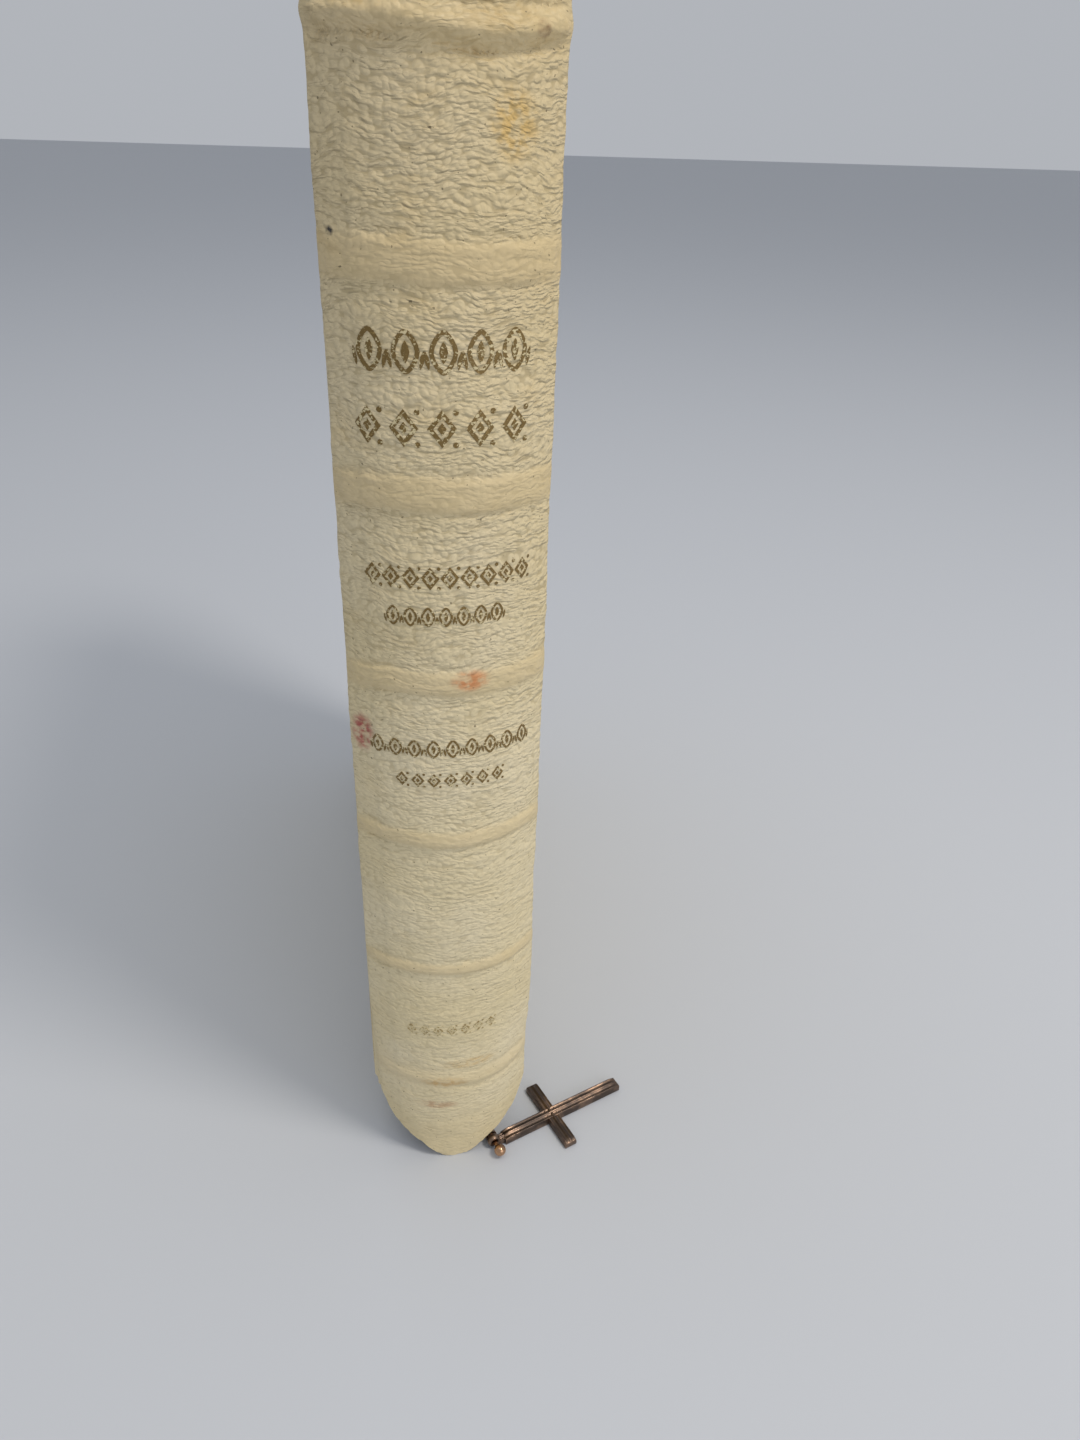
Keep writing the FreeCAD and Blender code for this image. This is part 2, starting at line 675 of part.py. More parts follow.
# ---- Check and write every piece ----
NODES = [
    "spine_leather", "spine_liner", "raised_bands", "mull", "sewing_tapes", "signatures",
    "headband", "tailband",
    "front_cover_leather", "front_board", "front_pastedown", "front_zip_tape", "front_zip_teeth",
    "front_zip_stops", "front_stitching",
    "back_cover_leather", "back_board", "back_pastedown", "back_zip_tape", "back_zip_teeth",
    "back_zip_stops", "back_stitching",
    "front_flyleaf", "title_leaf", "back_flyleaf",
    "slider", "pull_link", "pull_pin", "pull_cross",
]
for item in doc.Objects:
    if "Invalid" in item.State or "Error" in item.State:
        raise RuntimeError("%s did not build" % item.Label)
for label in NODES:
    piece = [o for o in doc.Objects if o.Label == label][0]
    shape = piece.Shape
    if shape.isNull() or not shape.isValid():
        raise RuntimeError("%s has no valid shape" % label)
    if not shape.Solids:
        raise RuntimeError("%s has no solid" % label)
    shape.exportStep("parts/%s.step" % label)
    box = shape.BoundBox
    print("%-22s solids %3d  volume %10.1f  x %7.2f %7.2f  y %7.2f %7.2f  z %7.2f %7.2f" % (
        label, len(shape.Solids), shape.Volume, box.XMin, box.XMax, box.YMin, box.YMax,
        box.ZMin, box.ZMax))
print("slide axis", tuple(round(v, 6) for v in bar_way))
print("link pivot", tuple(round(v, 4) for v in ring_centre))
print("pin pivot", tuple(round(v, 4) for v in pin_middle), "axis", tuple(round(v, 6) for v in pin_way))
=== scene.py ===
import json
import math
import random

import bpy
from mathutils import Matrix, Vector, noise


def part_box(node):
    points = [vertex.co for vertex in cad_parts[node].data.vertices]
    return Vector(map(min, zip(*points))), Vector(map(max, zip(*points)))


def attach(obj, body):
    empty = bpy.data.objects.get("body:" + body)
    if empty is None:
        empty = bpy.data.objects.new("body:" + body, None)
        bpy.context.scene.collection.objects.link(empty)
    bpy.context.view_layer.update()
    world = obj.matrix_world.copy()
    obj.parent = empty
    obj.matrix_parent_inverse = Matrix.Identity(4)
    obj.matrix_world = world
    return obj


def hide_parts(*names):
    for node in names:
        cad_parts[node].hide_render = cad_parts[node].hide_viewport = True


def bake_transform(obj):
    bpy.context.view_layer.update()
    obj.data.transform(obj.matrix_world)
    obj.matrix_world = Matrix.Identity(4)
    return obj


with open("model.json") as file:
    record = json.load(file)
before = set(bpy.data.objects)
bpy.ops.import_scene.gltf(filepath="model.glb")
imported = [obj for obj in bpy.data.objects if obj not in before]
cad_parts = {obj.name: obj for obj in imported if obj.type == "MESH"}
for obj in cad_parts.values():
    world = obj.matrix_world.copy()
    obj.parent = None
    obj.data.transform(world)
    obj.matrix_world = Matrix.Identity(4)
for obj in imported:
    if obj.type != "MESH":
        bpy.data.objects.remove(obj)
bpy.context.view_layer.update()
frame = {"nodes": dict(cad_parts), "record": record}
mm = 0.001
print("frame loaded")

# shared sizes of the binding, in metres, as the frame has them
binding = {
    "height": 0.214,            # tail to head
    "half": 0.01475,            # middle to a cover's face
    "leather": 0.0011,          # leather with its lining
    "spineRadius": 0.0200010,
    "sideStart": 0.005943,      # where the round of the spine turns straight
    "sideEnd": 0.007493,
    "coverStart": 0.008493,
    "foreEdge": 0.145,
    "cornerRadius": 0.022,
    "tailSlope": math.radians(2.0),
    "rimIn": 0.0045,
    "rimOut": 0.0075,
    "yapp": 0.016,              # how far in the curved edge reaches
    "bandPitch": 0.0282,
}
spineCentre = binding["spineRadius"] - binding["leather"] / 2


def deselect():
    if bpy.context.object and bpy.context.object.mode != "OBJECT":
        bpy.ops.object.mode_set(mode="OBJECT")
    bpy.ops.object.select_all(action="DESELECT")


def choose(*pieces):
    deselect()
    for piece in pieces:
        piece.select_set(True)
    bpy.context.view_layer.objects.active = pieces[0]


def applyModifier(piece, kind, **settings):
    choose(piece)
    modifier = piece.modifiers.new(kind.title(), kind)
    for name, value in settings.items():
        setattr(modifier, name, value)
    bpy.ops.object.modifier_apply(modifier=modifier.name)


def byAngle(degrees):
    # bevels only edges sharper than this
    return {"limit_method": "ANGLE", "angle_limit": math.radians(degrees)}


def editAll(piece, *steps):
    # runs edit-mode operators on the whole of a piece
    choose(piece)
    bpy.ops.object.mode_set(mode="EDIT")
    bpy.ops.mesh.select_all(action="SELECT")
    for step in steps:
        step()
    bpy.ops.object.mode_set(mode="OBJECT")


def selectWhere(piece, test):
    # selects vertices by their place; edit mode picks the choice up
    choose(piece)
    bpy.ops.object.mode_set(mode="EDIT")
    bpy.ops.mesh.select_mode(type="VERT")
    bpy.ops.mesh.select_all(action="DESELECT")
    bpy.ops.object.mode_set(mode="OBJECT")
    for vertex in piece.data.vertices:
        vertex.select = test(vertex)
    bpy.ops.object.mode_set(mode="EDIT")


def smoothAt(piece, degrees):
    choose(piece)
    bpy.ops.object.shade_smooth_by_angle(angle=math.radians(degrees))


def closeSkin(piece, degrees):
    editAll(piece, bpy.ops.mesh.normals_make_consistent)
    smoothAt(piece, degrees)


def newGrid(across, up):
    # a flat grid from -1 to 1 each way, to be shaped point by point
    deselect()
    bpy.ops.mesh.primitive_grid_add(x_subdivisions=across, y_subdivisions=up, size=2)
    return bpy.context.object


def copyOf(model):
    # a copy with a mesh of its own
    copied = model.copy()
    copied.data = model.data.copy()
    bpy.context.collection.objects.link(copied)
    return copied


def settle(piece, name, body, material, nodes=()):
    # names a finished piece, gives it its finish and lets it ride
    choose(piece)
    bpy.ops.object.transform_apply(location=True, rotation=True, scale=True)
    piece.name = name
    piece.data.materials.clear()
    piece.data.materials.append(material)
    if body:
        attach(piece, body)
    if nodes:
        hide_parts(*nodes)
    return piece


def joinPieces(pieces):
    choose(*pieces)
    if len(pieces) > 1:
        bpy.ops.object.join()
    return bpy.context.object


def smoothStep(low, high, value):
    share = min(max((value - low) / (high - low), 0.0), 1.0)
    return share * share * (3 - 2 * share)


def hexColour(code):
    channels = [int(code[i:i + 2], 16) / 255 for i in (1, 3, 5)]
    linear = [c / 12.92 if c <= 0.04045 else ((c + 0.055) / 1.055) ** 2.4 for c in channels]
    return (*linear, 1.0)


def feed(tree, node, inputs):
    # links or sets a node's inputs
    for name, value in inputs.items():
        if isinstance(value, bpy.types.NodeSocket):
            tree.links.new(value, node.inputs[name])
        else:
            node.inputs[name].default_value = value


def addNode(tree, kind, settings=None, inputs=None):
    node = tree.nodes.new(kind)
    for name, value in (settings or {}).items():
        setattr(node, name, value)
    feed(tree, node, inputs or {})
    return node


def newMaterial(name):
    material = bpy.data.materials.new(name)
    material.use_nodes = True
    tree = material.node_tree
    tree.nodes.clear()
    output = addNode(tree, "ShaderNodeOutputMaterial")
    shader = addNode(tree, "ShaderNodeBsdfPrincipled")
    tree.links.new(shader.outputs["BSDF"], output.inputs["Surface"])
    place = addNode(tree, "ShaderNodeTexCoord").outputs["Object"]
    return material, tree, shader, place


def scaled(tree, place, x, y, z):
    # cells or waves of these sizes in millimetres
    scale = (1000 / x, 1000 / y, 1000 / z)
    return addNode(tree, "ShaderNodeMapping", inputs={"Vector": place, "Scale": scale}).outputs["Vector"]


def pattern(tree, place, detail=3.0, rough=0.5):
    settings = {"Vector": place, "Scale": 1.0, "Detail": detail, "Roughness": rough}
    return addNode(tree, "ShaderNodeTexNoise", inputs=settings).outputs["Fac"]


def ramp(tree, value, low, high, outLow=0.0, outHigh=1.0):
    inputs = {"Value": value, "From Min": low, "From Max": high, "To Min": outLow, "To Max": outHigh}
    node = addNode(tree, "ShaderNodeMapRange", {"interpolation_type": "SMOOTHSTEP"}, inputs)
    return node.outputs["Result"]


def maths(tree, kind, first, second):
    return addNode(tree, "ShaderNodeMath", {"operation": kind}, {0: first, 1: second}).outputs[0]


def times(tree, first, second):
    return maths(tree, "MULTIPLY", first, second)


def plus(tree, first, second):
    return maths(tree, "ADD", first, second)


def mixColour(tree, share, first, second):
    node = addNode(tree, "ShaderNodeMix", {"data_type": "RGBA", "blend_type": "MIX"})
    ends = [hexColour(colour) if isinstance(colour, str) else colour for colour in (first, second)]
    feed(tree, node, {0: share, 6: ends[0], 7: ends[1]})
    return node.outputs[2]


def bump(tree, height, distance):
    inputs = {"Height": height, "Distance": distance, "Strength": 1.0}
    return addNode(tree, "ShaderNodeBump", inputs=inputs).outputs["Normal"]


leatherLook = {
    "cream": "#d9c9a0",
    "pale": "#dfd1ae",
    "burnished": "#c6ad7b",
    # colour of the painted shade in the grain valleys
    "valleyShade": "#8a7850",
    "headTone": "#c2a878",  # darker towards the head
    "warmPatch": "#d3b982",
    "speck": "#5d5038",
    "rowLength": 2.3,      # mm, grain along the wrinkle
    "rowHeight": 0.8,      # mm, from one wrinkle to the next
    "grainDepth": 0.00016,
    # colour, middle (x, z) in mm, reach (x, z) in mm, strength
    "stains": [
        ("#c9783f", (2.8, 107.6), (3.0, 1.8), 0.6),
        ("#a8534a", (-13.0, 97.0), (1.7, 3.6), 0.75),
        ("#c7a064", (-1.8, 21.6), (4.6, 1.5), 0.6),
        ("#cfae75", (2.6, 26.2), (5.4, 1.4), 0.5),
        ("#b78f6b", (-3.4, 15.2), (4.2, 1.2), 0.5),
        ("#d0a754", (8.0, 177.8), (3.2, 4.0), 0.5),
        ("#c9a561", (-9.0, 190.5), (6.0, 2.6), 0.55),
        ("#b99d66", (6.0, 188.0), (5.0, 2.0), 0.4),
        ("#46423c", (-13.3, 166.3), (0.5, 0.6), 0.9),
        ("#8a6b4a", (11.1, 187.0), (1.0, 1.0), 0.6),
    ],
}


def agedLeather():
    # goatskin with a pulled straight grain, glazed cream: soft low gloss, with painted shade in the wrinkles
    material, tree, shader, place = newMaterial("agedGoatskin")
    split = addNode(tree, "ShaderNodeSeparateXYZ", inputs={"Vector": place})
    along, tall = leatherLook["rowLength"], leatherLook["rowHeight"]
    drift = pattern(tree, scaled(tree, place, 11, 11, 8), 3.0)
    waver = times(tree, maths(tree, "SUBTRACT", drift, 0.5), 5.0 * mm)
    wavyZ = plus(tree, split.outputs["Z"], waver)
    wavy = addNode(tree, "ShaderNodeCombineXYZ", inputs={
        "X": split.outputs["X"], "Y": split.outputs["Y"], "Z": wavyZ}).outputs["Vector"]
    rows = pattern(tree, scaled(tree, wavy, along * 1.3, along * 1.3, tall * 0.95), 2.0, 0.45)
    cells = addNode(tree, "ShaderNodeTexVoronoi", {"feature": "SMOOTH_F1"}, {
        "Vector": scaled(tree, wavy, along * 0.42, along * 0.42, tall * 0.68), "Scale": 1.0,
        "Smoothness": 0.22, "Randomness": 0.9}).outputs["Distance"]
    pebble = ramp(tree, cells, 0.2, 0.72, 1.0, 0.0)
    wrinkle = ramp(tree, rows, 0.3, 0.7)
    pores = pattern(tree, scaled(tree, place, 0.3, 0.3, 0.25), 2.0)
    burnish = addNode(tree, "ShaderNodeAttribute", {"attribute_name": "burnish"}).outputs["Fac"]
    rough = maths(tree, "SUBTRACT", 1.0, times(tree, burnish, 0.68))
    crisp = ramp(tree, split.outputs["Z"], 10 * mm, 170 * mm, 0.5, 1.25)
    fall = plus(tree, times(tree, pebble, 0.7), times(tree, wrinkle, 1.1))
    fall = plus(tree, fall, times(tree, pores, 0.09))
    height = times(tree, times(tree, fall, rough), crisp)

    patches = pattern(tree, scaled(tree, place, 34, 34, 26), 3.0)
    colour = mixColour(tree, ramp(tree, patches, 0.35, 0.68), leatherLook["cream"], leatherLook["pale"])
    warmth = pattern(tree, scaled(tree, place, 7, 7, 4), 4.0, 0.6)
    warm = times(tree, ramp(tree, warmth, 0.5, 0.78), ramp(
        tree, split.outputs["Z"], 90 * mm, 190 * mm, 0.25, 0.8))
    colour = mixColour(tree, times(tree, warm, 0.6), colour, leatherLook["warmPatch"])
    colour = mixColour(tree, times(tree, burnish, 0.4), colour, leatherLook["burnished"])
    # the leather is mixed darker towards the head
    headShare = ramp(tree, split.outputs["Z"], 60 * mm, 205 * mm, 0.0, 0.42)
    colour = mixColour(tree, headShare, colour, leatherLook["headTone"])
    for code, middle, reach, strength in leatherLook["stains"]:
        offX, offZ = [
            maths(tree, "DIVIDE", maths(tree, "SUBTRACT", split.outputs[axis], middle[i] * mm), reach[i] * mm)
            for i, axis in enumerate("XZ")]
        onSpine = ramp(tree, split.outputs["Y"], 7 * mm, 9 * mm, 1.0, 0.0)
        reachSquared = plus(tree, times(tree, offX, offX), times(tree, offZ, offZ))
        near = ramp(tree, reachSquared, 0.0, 1.3, 1.0, 0.0)
        blotch = ramp(tree, pattern(tree, scaled(tree, place, 1.3, 1.3, 1.0), 3.0), 0.38, 0.62)
        share = times(tree, times(tree, near, onSpine),
                      times(tree, plus(tree, blotch, 0.35), strength))
        colour = mixColour(tree, share, colour, code)
    # painted shade in the thin valleys of the grain, growing stronger towards the head and weaker on
    # burnished leather
    valley = times(tree, ramp(tree, cells, 0.5, 0.72), ramp(tree, rows, 0.35, 0.62, 1.0, 0.25))
    valleyShadeRise = ramp(tree, split.outputs["Z"], 20 * mm, 150 * mm, 0.2, 0.42)
    valleyShadeShare = times(tree, times(tree, valley, valleyShadeRise), rough)
    colour = mixColour(tree, valleyShadeShare, colour, leatherLook["valleyShade"])
    specks = ramp(tree, pattern(tree, scaled(tree, place, 0.55, 0.55, 0.55), 1.0, 0.5), 0.735, 0.78)
    colour = mixColour(tree, times(tree, specks, 0.7), colour, leatherLook["speck"])
    feed(tree, shader, {
        "Base Color": colour, "Roughness": ramp(tree, fall, 0.0, 1.3, 0.66, 0.5), "IOR": 1.5,
        "Specular IOR Level": 0.35, "Normal": bump(tree, height, leatherLook["grainDepth"])})
    return material


def agedBrass(name, light, dark, scratch, roughLow, roughHigh):
    # cast brass alloy gone brown: metal with a dull oxide in the hollows and rubbed high spots
    material, tree, shader, place = newMaterial(name)
    cloud = pattern(tree, scaled(tree, place, 3.4, 3.4, 3.4), 4.0, 0.55)
    fine = pattern(tree, scaled(tree, place, scratch, 0.3, 0.3), 3.0, 0.6)
    colour = mixColour(tree, ramp(tree, cloud, 0.4, 0.62), dark, light)
    feed(tree, shader, {
        "Base Color": colour, "Roughness": ramp(tree, cloud, 0.3, 0.7, roughHigh, roughLow),
        "Metallic": 1.0, "Normal": bump(tree, fine, 0.000022)})
    return material


def wornFoil(name, gold, hold):
    # antique gold foil pressed into the grain: dark, broken where the leather shows through
    material, tree, shader, place = newMaterial(name)
    wear = pattern(tree, scaled(tree, place, 0.55, 0.55, 0.4), 3.0, 0.65)
    cloud = pattern(tree, scaled(tree, place, 5, 5, 5), 2.0)
    gone = ramp(tree, plus(tree, wear, times(tree, cloud, 0.25)), hold + 0.13, hold + 0.2)
    glint = ramp(tree, wear, 0.3, 0.4, 0.6, 0.0)
    foil = mixColour(tree, glint, gold, "#b0935a")
    colour = mixColour(tree, gone, foil, "#d2c296")
    feed(tree, shader, {
        "Base Color": colour, "Roughness": 0.5,
        "Metallic": times(tree, maths(tree, "SUBTRACT", 1.0, gone), 0.35),
        "Normal": bump(tree, wear, 0.00005)})
    return material


def wovenTape(name, light, dark, thread):
    # cotton tape in a herringbone weave, threads of a real size
    material, tree, shader, place = newMaterial(name)
    split = addNode(tree, "ShaderNodeSeparateXYZ", inputs={"Vector": place})
    run = plus(tree, split.outputs["Y"], split.outputs["Z"])
    zig = maths(tree, "PINGPONG", split.outputs["X"], 1.2 * mm)
    lean = plus(tree, run, zig)
    threads = maths(tree, "SINE", times(tree, lean, 2000 * math.pi / thread), 0.0)
    cross = maths(tree, "SINE", times(tree, split.outputs["X"], 2000 * math.pi / thread), 0.0)
    weave = times(tree, plus(tree, threads, 1.0), plus(tree, cross, 1.4))
    fuzz = pattern(tree, scaled(tree, place, 0.25, 0.25, 0.25), 2.0)
    soil = pattern(tree, scaled(tree, place, 12, 12, 12), 3.0)
    colour = mixColour(tree, ramp(tree, weave, 0.0, 3.6), dark, light)
    colour = mixColour(tree, ramp(tree, soil, 0.45, 0.75, 0.0, 0.4), colour, dark)
    feed(tree, shader, {
        "Base Color": colour, "Roughness": 0.9, "Sheen Weight": 0.15})
    height = plus(tree, times(tree, weave, 0.25), times(tree, fuzz, 0.3))
    tree.links.new(bump(tree, height, 0.00008), shader.inputs["Normal"])
    return material


def bookPaper(name, face, shade):
    # rag paper: matt, faintly mottled, with soft fibres
    material, tree, shader, place = newMaterial(name)
    fibres = pattern(tree, scaled(tree, place, 0.6, 1.6, 1.6), 4.0, 0.6)
    tone = pattern(tree, scaled(tree, place, 30, 45, 45), 4.0, 0.6)
    colour = mixColour(tree, ramp(tree, tone, 0.35, 0.7), face, shade)
    colour = mixColour(tree, ramp(tree, fibres, 0.35, 0.7, 0.0, 0.25), colour, shade)
    feed(tree, shader, {
        "Base Color": colour, "Roughness": 0.85, "Normal": bump(tree, fibres, 0.00004)})
    return material


def giltEdge():
    # cut leaves under burnished gold leaf that has dulled: fine lines, low shine
    material, tree, shader, place = newMaterial("giltPageEdge")
    leaves = pattern(tree, scaled(tree, place, 0.16, 60, 60), 2.0, 0.6)
    tone = pattern(tree, scaled(tree, place, 1.6, 30, 30), 3.0)
    gold = mixColour(tree, ramp(tree, tone, 0.35, 0.65), "#a8854a", "#cfac68")
    gold = mixColour(tree, ramp(tree, leaves, 0.5, 0.7, 0.0, 0.6), gold, "#6d5530")
    feed(tree, shader, {
        "Base Color": gold, "Metallic": 1.0, "Roughness": ramp(tree, leaves, 0.3, 0.7, 0.34, 0.5),
        "Normal": bump(tree, leaves, 0.00005)})
    return material


def greyCard(name, light, dark):
    # pressed card: matt, flecked with fibre
    material, tree, shader, place = newMaterial(name)
    fleck = pattern(tree, scaled(tree, place, 0.8, 0.8, 0.8), 4.0, 0.65)
    colour = mixColour(tree, ramp(tree, fleck, 0.35, 0.7), dark, light)
    feed(tree, shader, {
        "Base Color": colour, "Roughness": 0.92, "Normal": bump(tree, fleck, 0.00006)})
    return material


finishes = {
    "leather": agedLeather(),
    "brass": agedBrass("dulledBrass", "#8d6f45", "#4f4030", 2.0, 0.32, 0.55),
    "bright_brass": agedBrass("rubbedBrass", "#c39a77", "#7e5e47", 1.0, 0.2, 0.34),
    "old_brass": agedBrass("tarnishedBrass", "#8a7362", "#5c5048", 2.4, 0.34, 0.5),
    "foil": wornFoil("wornGoldFoil", "#7a6233", 0.54),
    "faded_foil": wornFoil("fadedGoldFoil", "#a08a5a", 0.44),
    "silk": wovenTape("endBandSilk", "#e2d8bf", "#b3a27c", 0.3),
    "zip_cloth": wovenTape("cottonZipTape", "#cabb97", "#95866a", 0.5),
    "thread": wovenTape("waxedThread", "#d8cba8", "#a4946f", 0.35),
    "cloth": wovenTape("bookCloth", "#d9d0b8", "#a89b7c", 0.7),
    "paper": giltEdge(),
    "plain_paper": bookPaper("ragPaper", "#e6dcc2", "#d9ccab"),
    "endpaper": bookPaper("laidEndpaper", "#e4d9bc", "#d8caa6"),
    "board": greyCard("pressedCard", "#a08f73", "#7d6d54"),
}
for entry in frame["record"]["subparts"]:
    node = frame["nodes"][entry["node"]]
    for slotIndex in range(len(node.material_slots)):
        node.material_slots[slotIndex].material = finishes[entry["material_slot"]]
print("materials made")


# spine leather
spineLook = {
    "across": 96,
    "up": 460,
    # half height and rise of each raised band, tail to head
    "bands": [(1.3 * mm, 0.34 * mm), (1.6 * mm, 0.4 * mm), (2.1 * mm, 0.4 * mm), (2.6 * mm, 0.4 * mm),
              (2.7 * mm, 0.42 * mm)],
    "ridgeRise": 0.34 * mm,
    "creaseDepth": 0.34 * mm,
    "linerHalf": 11.4 * mm,     # the stiff liner shows as a soft edge either side
    "linerRise": 0.13 * mm,
    "tatter": 0.28 * mm,        # how ragged the cut edge of the tongue is
    "wrinkle": 0.1 * mm,
    "dent": 0.2 * mm,
}
bandHeights = [binding["height"] / 2 + (i - 2) * binding["bandPitch"] for i in range(5)]
ridgeHeights = [22.4 * mm, 187.0 * mm]
roundAngle = math.asin(binding["half"] / binding["spineRadius"])
roundHalf = roundAngle * binding["spineRadius"]
sectionHalf = roundHalf + binding["sideEnd"] - binding["sideStart"]
tongueEdge = [(0.0, 0.0), (2.6, 0.05), (4.4, 1.4), (5.8, 2.8), (9.44, 5.0), (13.42, 9.3),
              (14.75, 14.4), (16.0, 17.2)]


def tongueHeight(x):
    # how high the tongue's cut edge stands at this distance from the middle
    def straight(place):
        place = abs(place)
        for (x0, z0), (x1, z1) in zip(tongueEdge, tongueEdge[1:]):
            if place <= x1:
                return z0 + (z1 - z0) * (place - x0) / (x1 - x0)
        return tongueEdge[-1][1]

    spread = (-1.2, -0.6, 0.0, 0.6, 1.2)
    return (sum(straight(x / mm + d) for d in spread) / 5 - sum(straight(d) for d in spread) / 5) * mm


def sectionPoint(around):
    # place and outward way on the spine's section, by the length round it from the middle
    radius = binding["spineRadius"]
    if abs(around) <= roundHalf:
        angle = around / radius
        way = Vector((math.sin(angle), -math.cos(angle), 0))
        return Vector((0, spineCentre, 0)) + way * radius, way
    side = math.copysign(1, around)
    y = binding["sideStart"] + abs(around) - roundHalf
    return Vector((side * binding["half"], y, 0)), Vector((side, 0, 0))


def pinched(point):
    # the sides draw in a little towards the tail tongue, more on the back cover's side
    share = 1 - smoothStep(14 * mm, 44 * mm, point.z)
    reach = (1.2 if point.x < 0 else 0.5) * mm / binding["half"]
    joined = 1 - smoothStep(6.5 * mm, 8.5 * mm, point.y)
    return Vector((point.x * (1 - reach * share * joined), point.y, point.z))


def crease(off, place, wide, around, seed):
    # a fold line that wanders and comes and goes along its length
    wander = 0.55 * noise.noise(Vector((around * 110, seed, 0.2)))
    depth = 0.55 + 0.9 * noise.noise(Vector((around * 150, seed, 4.2)))
    return max(depth, 0.1) * math.exp(-((off / mm - place - wander) / wide) ** 2)


def spineLift(around, z):
    # how far the leather stands out at a place, and how burnished it is there
    edge = 1 - smoothStep(roundHalf * 0.86, roundHalf, abs(around))
    lift = 0.0
    burnish = 0.0
    lean = 0.9 * mm * noise.noise(Vector((around * 60, z * 8, 3.1)))
    for number, middle in enumerate(bandHeights):
        off = z - middle + lean
        halfTall, rise = spineLook["bands"][number]
        raised = 1 - smoothStep(0.4, 1.3, abs(off) / halfTall)
        lift += rise * raised * (0.2 + 0.8 * edge)
        burnish = max(burnish, 0.85 * (1 - smoothStep(0.75, 1.15, abs(off) / halfTall)))
        reach = halfTall / mm
        for place, wide, share in ((-reach - 0.1, 0.34, 1.2), (reach, 0.36, 1.0), (reach * 0.25, 0.3, 0.4),
                                   (-reach - 1.6, 0.5, 0.5)):
            seed = number * 3 + wide + share
            lift -= spineLook["creaseDepth"] * share * edge * crease(off, place, wide, around, seed)
    for middle in ridgeHeights:
        off = z - middle + 2 * lean
        head = 3.0 if middle > binding["height"] / 2 else 1.0
        lift += head * spineLook["ridgeRise"] * math.exp(-((off / mm) / 1.2) ** 2) * (0.3 + 0.7 * edge)
        lift -= head * spineLook["creaseDepth"] * edge * crease(off, -2.0, 0.5, around, 31)
        lift -= head * spineLook["creaseDepth"] * 0.7 * edge * crease(off, 2.1, 0.45, around, 37)
        burnish = max(burnish, 0.7 * math.exp(-((off / mm) / 2.6) ** 2))
    tailward = 1 - smoothStep(4 * mm, 20 * mm, z)
    burnish = max(burnish, 0.5 * tailward)
    lift += spineLook["linerRise"] * (1 - smoothStep(0, 0.9 * mm, abs(around) - spineLook["linerHalf"]))
    across, up = around * 1000, z * 1000
    waver = 1.6 * noise.noise(Vector((across / 9, up / 12, 2.2)))
    rows = noise.fractal(Vector((across / 4.2, up / 1.5 + waver, 7.7)), 0.9, 2.0, 2)
    soft = noise.noise(Vector((across / 11, up / 9, 1.3)))
    pucker = tailward * 0.22 * mm * noise.noise(Vector((across / 3.2, up / 3.4, 6.6)))
    lift += spineLook["wrinkle"] * rows * (1 - 0.8 * burnish) + spineLook["dent"] * soft + pucker
    return lift, burnish


def makeSpine():
    skin = newGrid(spineLook["across"], spineLook["up"])
    burnish = skin.data.attributes.new("burnish", "FLOAT", "POINT")
    for vertex in skin.data.vertices:
        around = vertex.co.x * sectionHalf
        base, way = sectionPoint(around)
        low = tongueHeight(base.x)
        share = (vertex.co.y + 1) / 2
        ragged = spineLook["tatter"] * noise.noise(Vector((around * 900, 0.4, 9.0)))
        ragged += 0.5 * spineLook["tatter"] * noise.noise(Vector((around * 2600, 2.4, 5.0)))
        endShare = max(0.0, 1 - min(share, 1 - share) / 0.012)
        z = low + (binding["height"] - 2 * low) * share
        z += (abs(ragged) if share < 0.5 else -abs(ragged)) * endShare
        lift, shine = spineLift(around, z)
        fade = smoothStep(0, 1.2 * mm, sectionHalf - abs(around))
        vertex.co = pinched(base + way * lift * fade + Vector((0, 0, z)))
        burnish.data[vertex.index].value = shine
    editAll(skin, bpy.ops.mesh.normals_make_consistent)
    middleFace = spineLook["up"] // 2 * spineLook["across"] + spineLook["across"] // 2
    if skin.data.polygons[middleFace].normal.y > 0:
        editAll(skin, bpy.ops.mesh.flip_normals)
    applyModifier(skin, "SOLIDIFY", thickness=binding["leather"], offset=-1.0)
    smoothAt(skin, 50)
    return settle(skin, "spine_skin", "book", finishes["leather"], ["spine_leather"])


makeSpine()
print("spine made")


# covers
coverLook = {
    "cornerSteps": 14,
    "warp": 0.3 * mm,
    "notchIn": 6.05 * mm,
    "notchOut": 6.75 * mm,
    "notchDeep": 0.3 * mm,
    "ringStep": 7.0,            # mm, between the rings that carry the face's slight warp
    "ringLast": 100.0,
}
turnY = binding["foreEdge"] - binding["cornerRadius"]
midHeight = binding["height"] / 2


def outwardAt(angle):
    return Vector((0, math.cos(angle), math.sin(angle)))


def cornerAt(inset):
    # where the tail edge's line and the fore-edge's line meet at this inset, tail side
    slope = binding["tailSlope"]
    y = binding["foreEdge"] - inset
    reach = binding["cornerRadius"] - inset
    drop = (reach + (y - turnY) * math.sin(slope)) / math.cos(slope)
    return Vector((0, y, binding["cornerRadius"] - drop))


def turnPoint(share, inset):
    # a place on the rounded corner of the tail side
    slope = binding["tailSlope"]
    reach = binding["cornerRadius"] - inset
    if reach <= 0:
        return cornerAt(inset)
    angle = -math.pi / 2 - slope + (math.pi / 2 + slope) * share
    return Vector((0, turnY, binding["cornerRadius"])) + outwardAt(angle) * reach


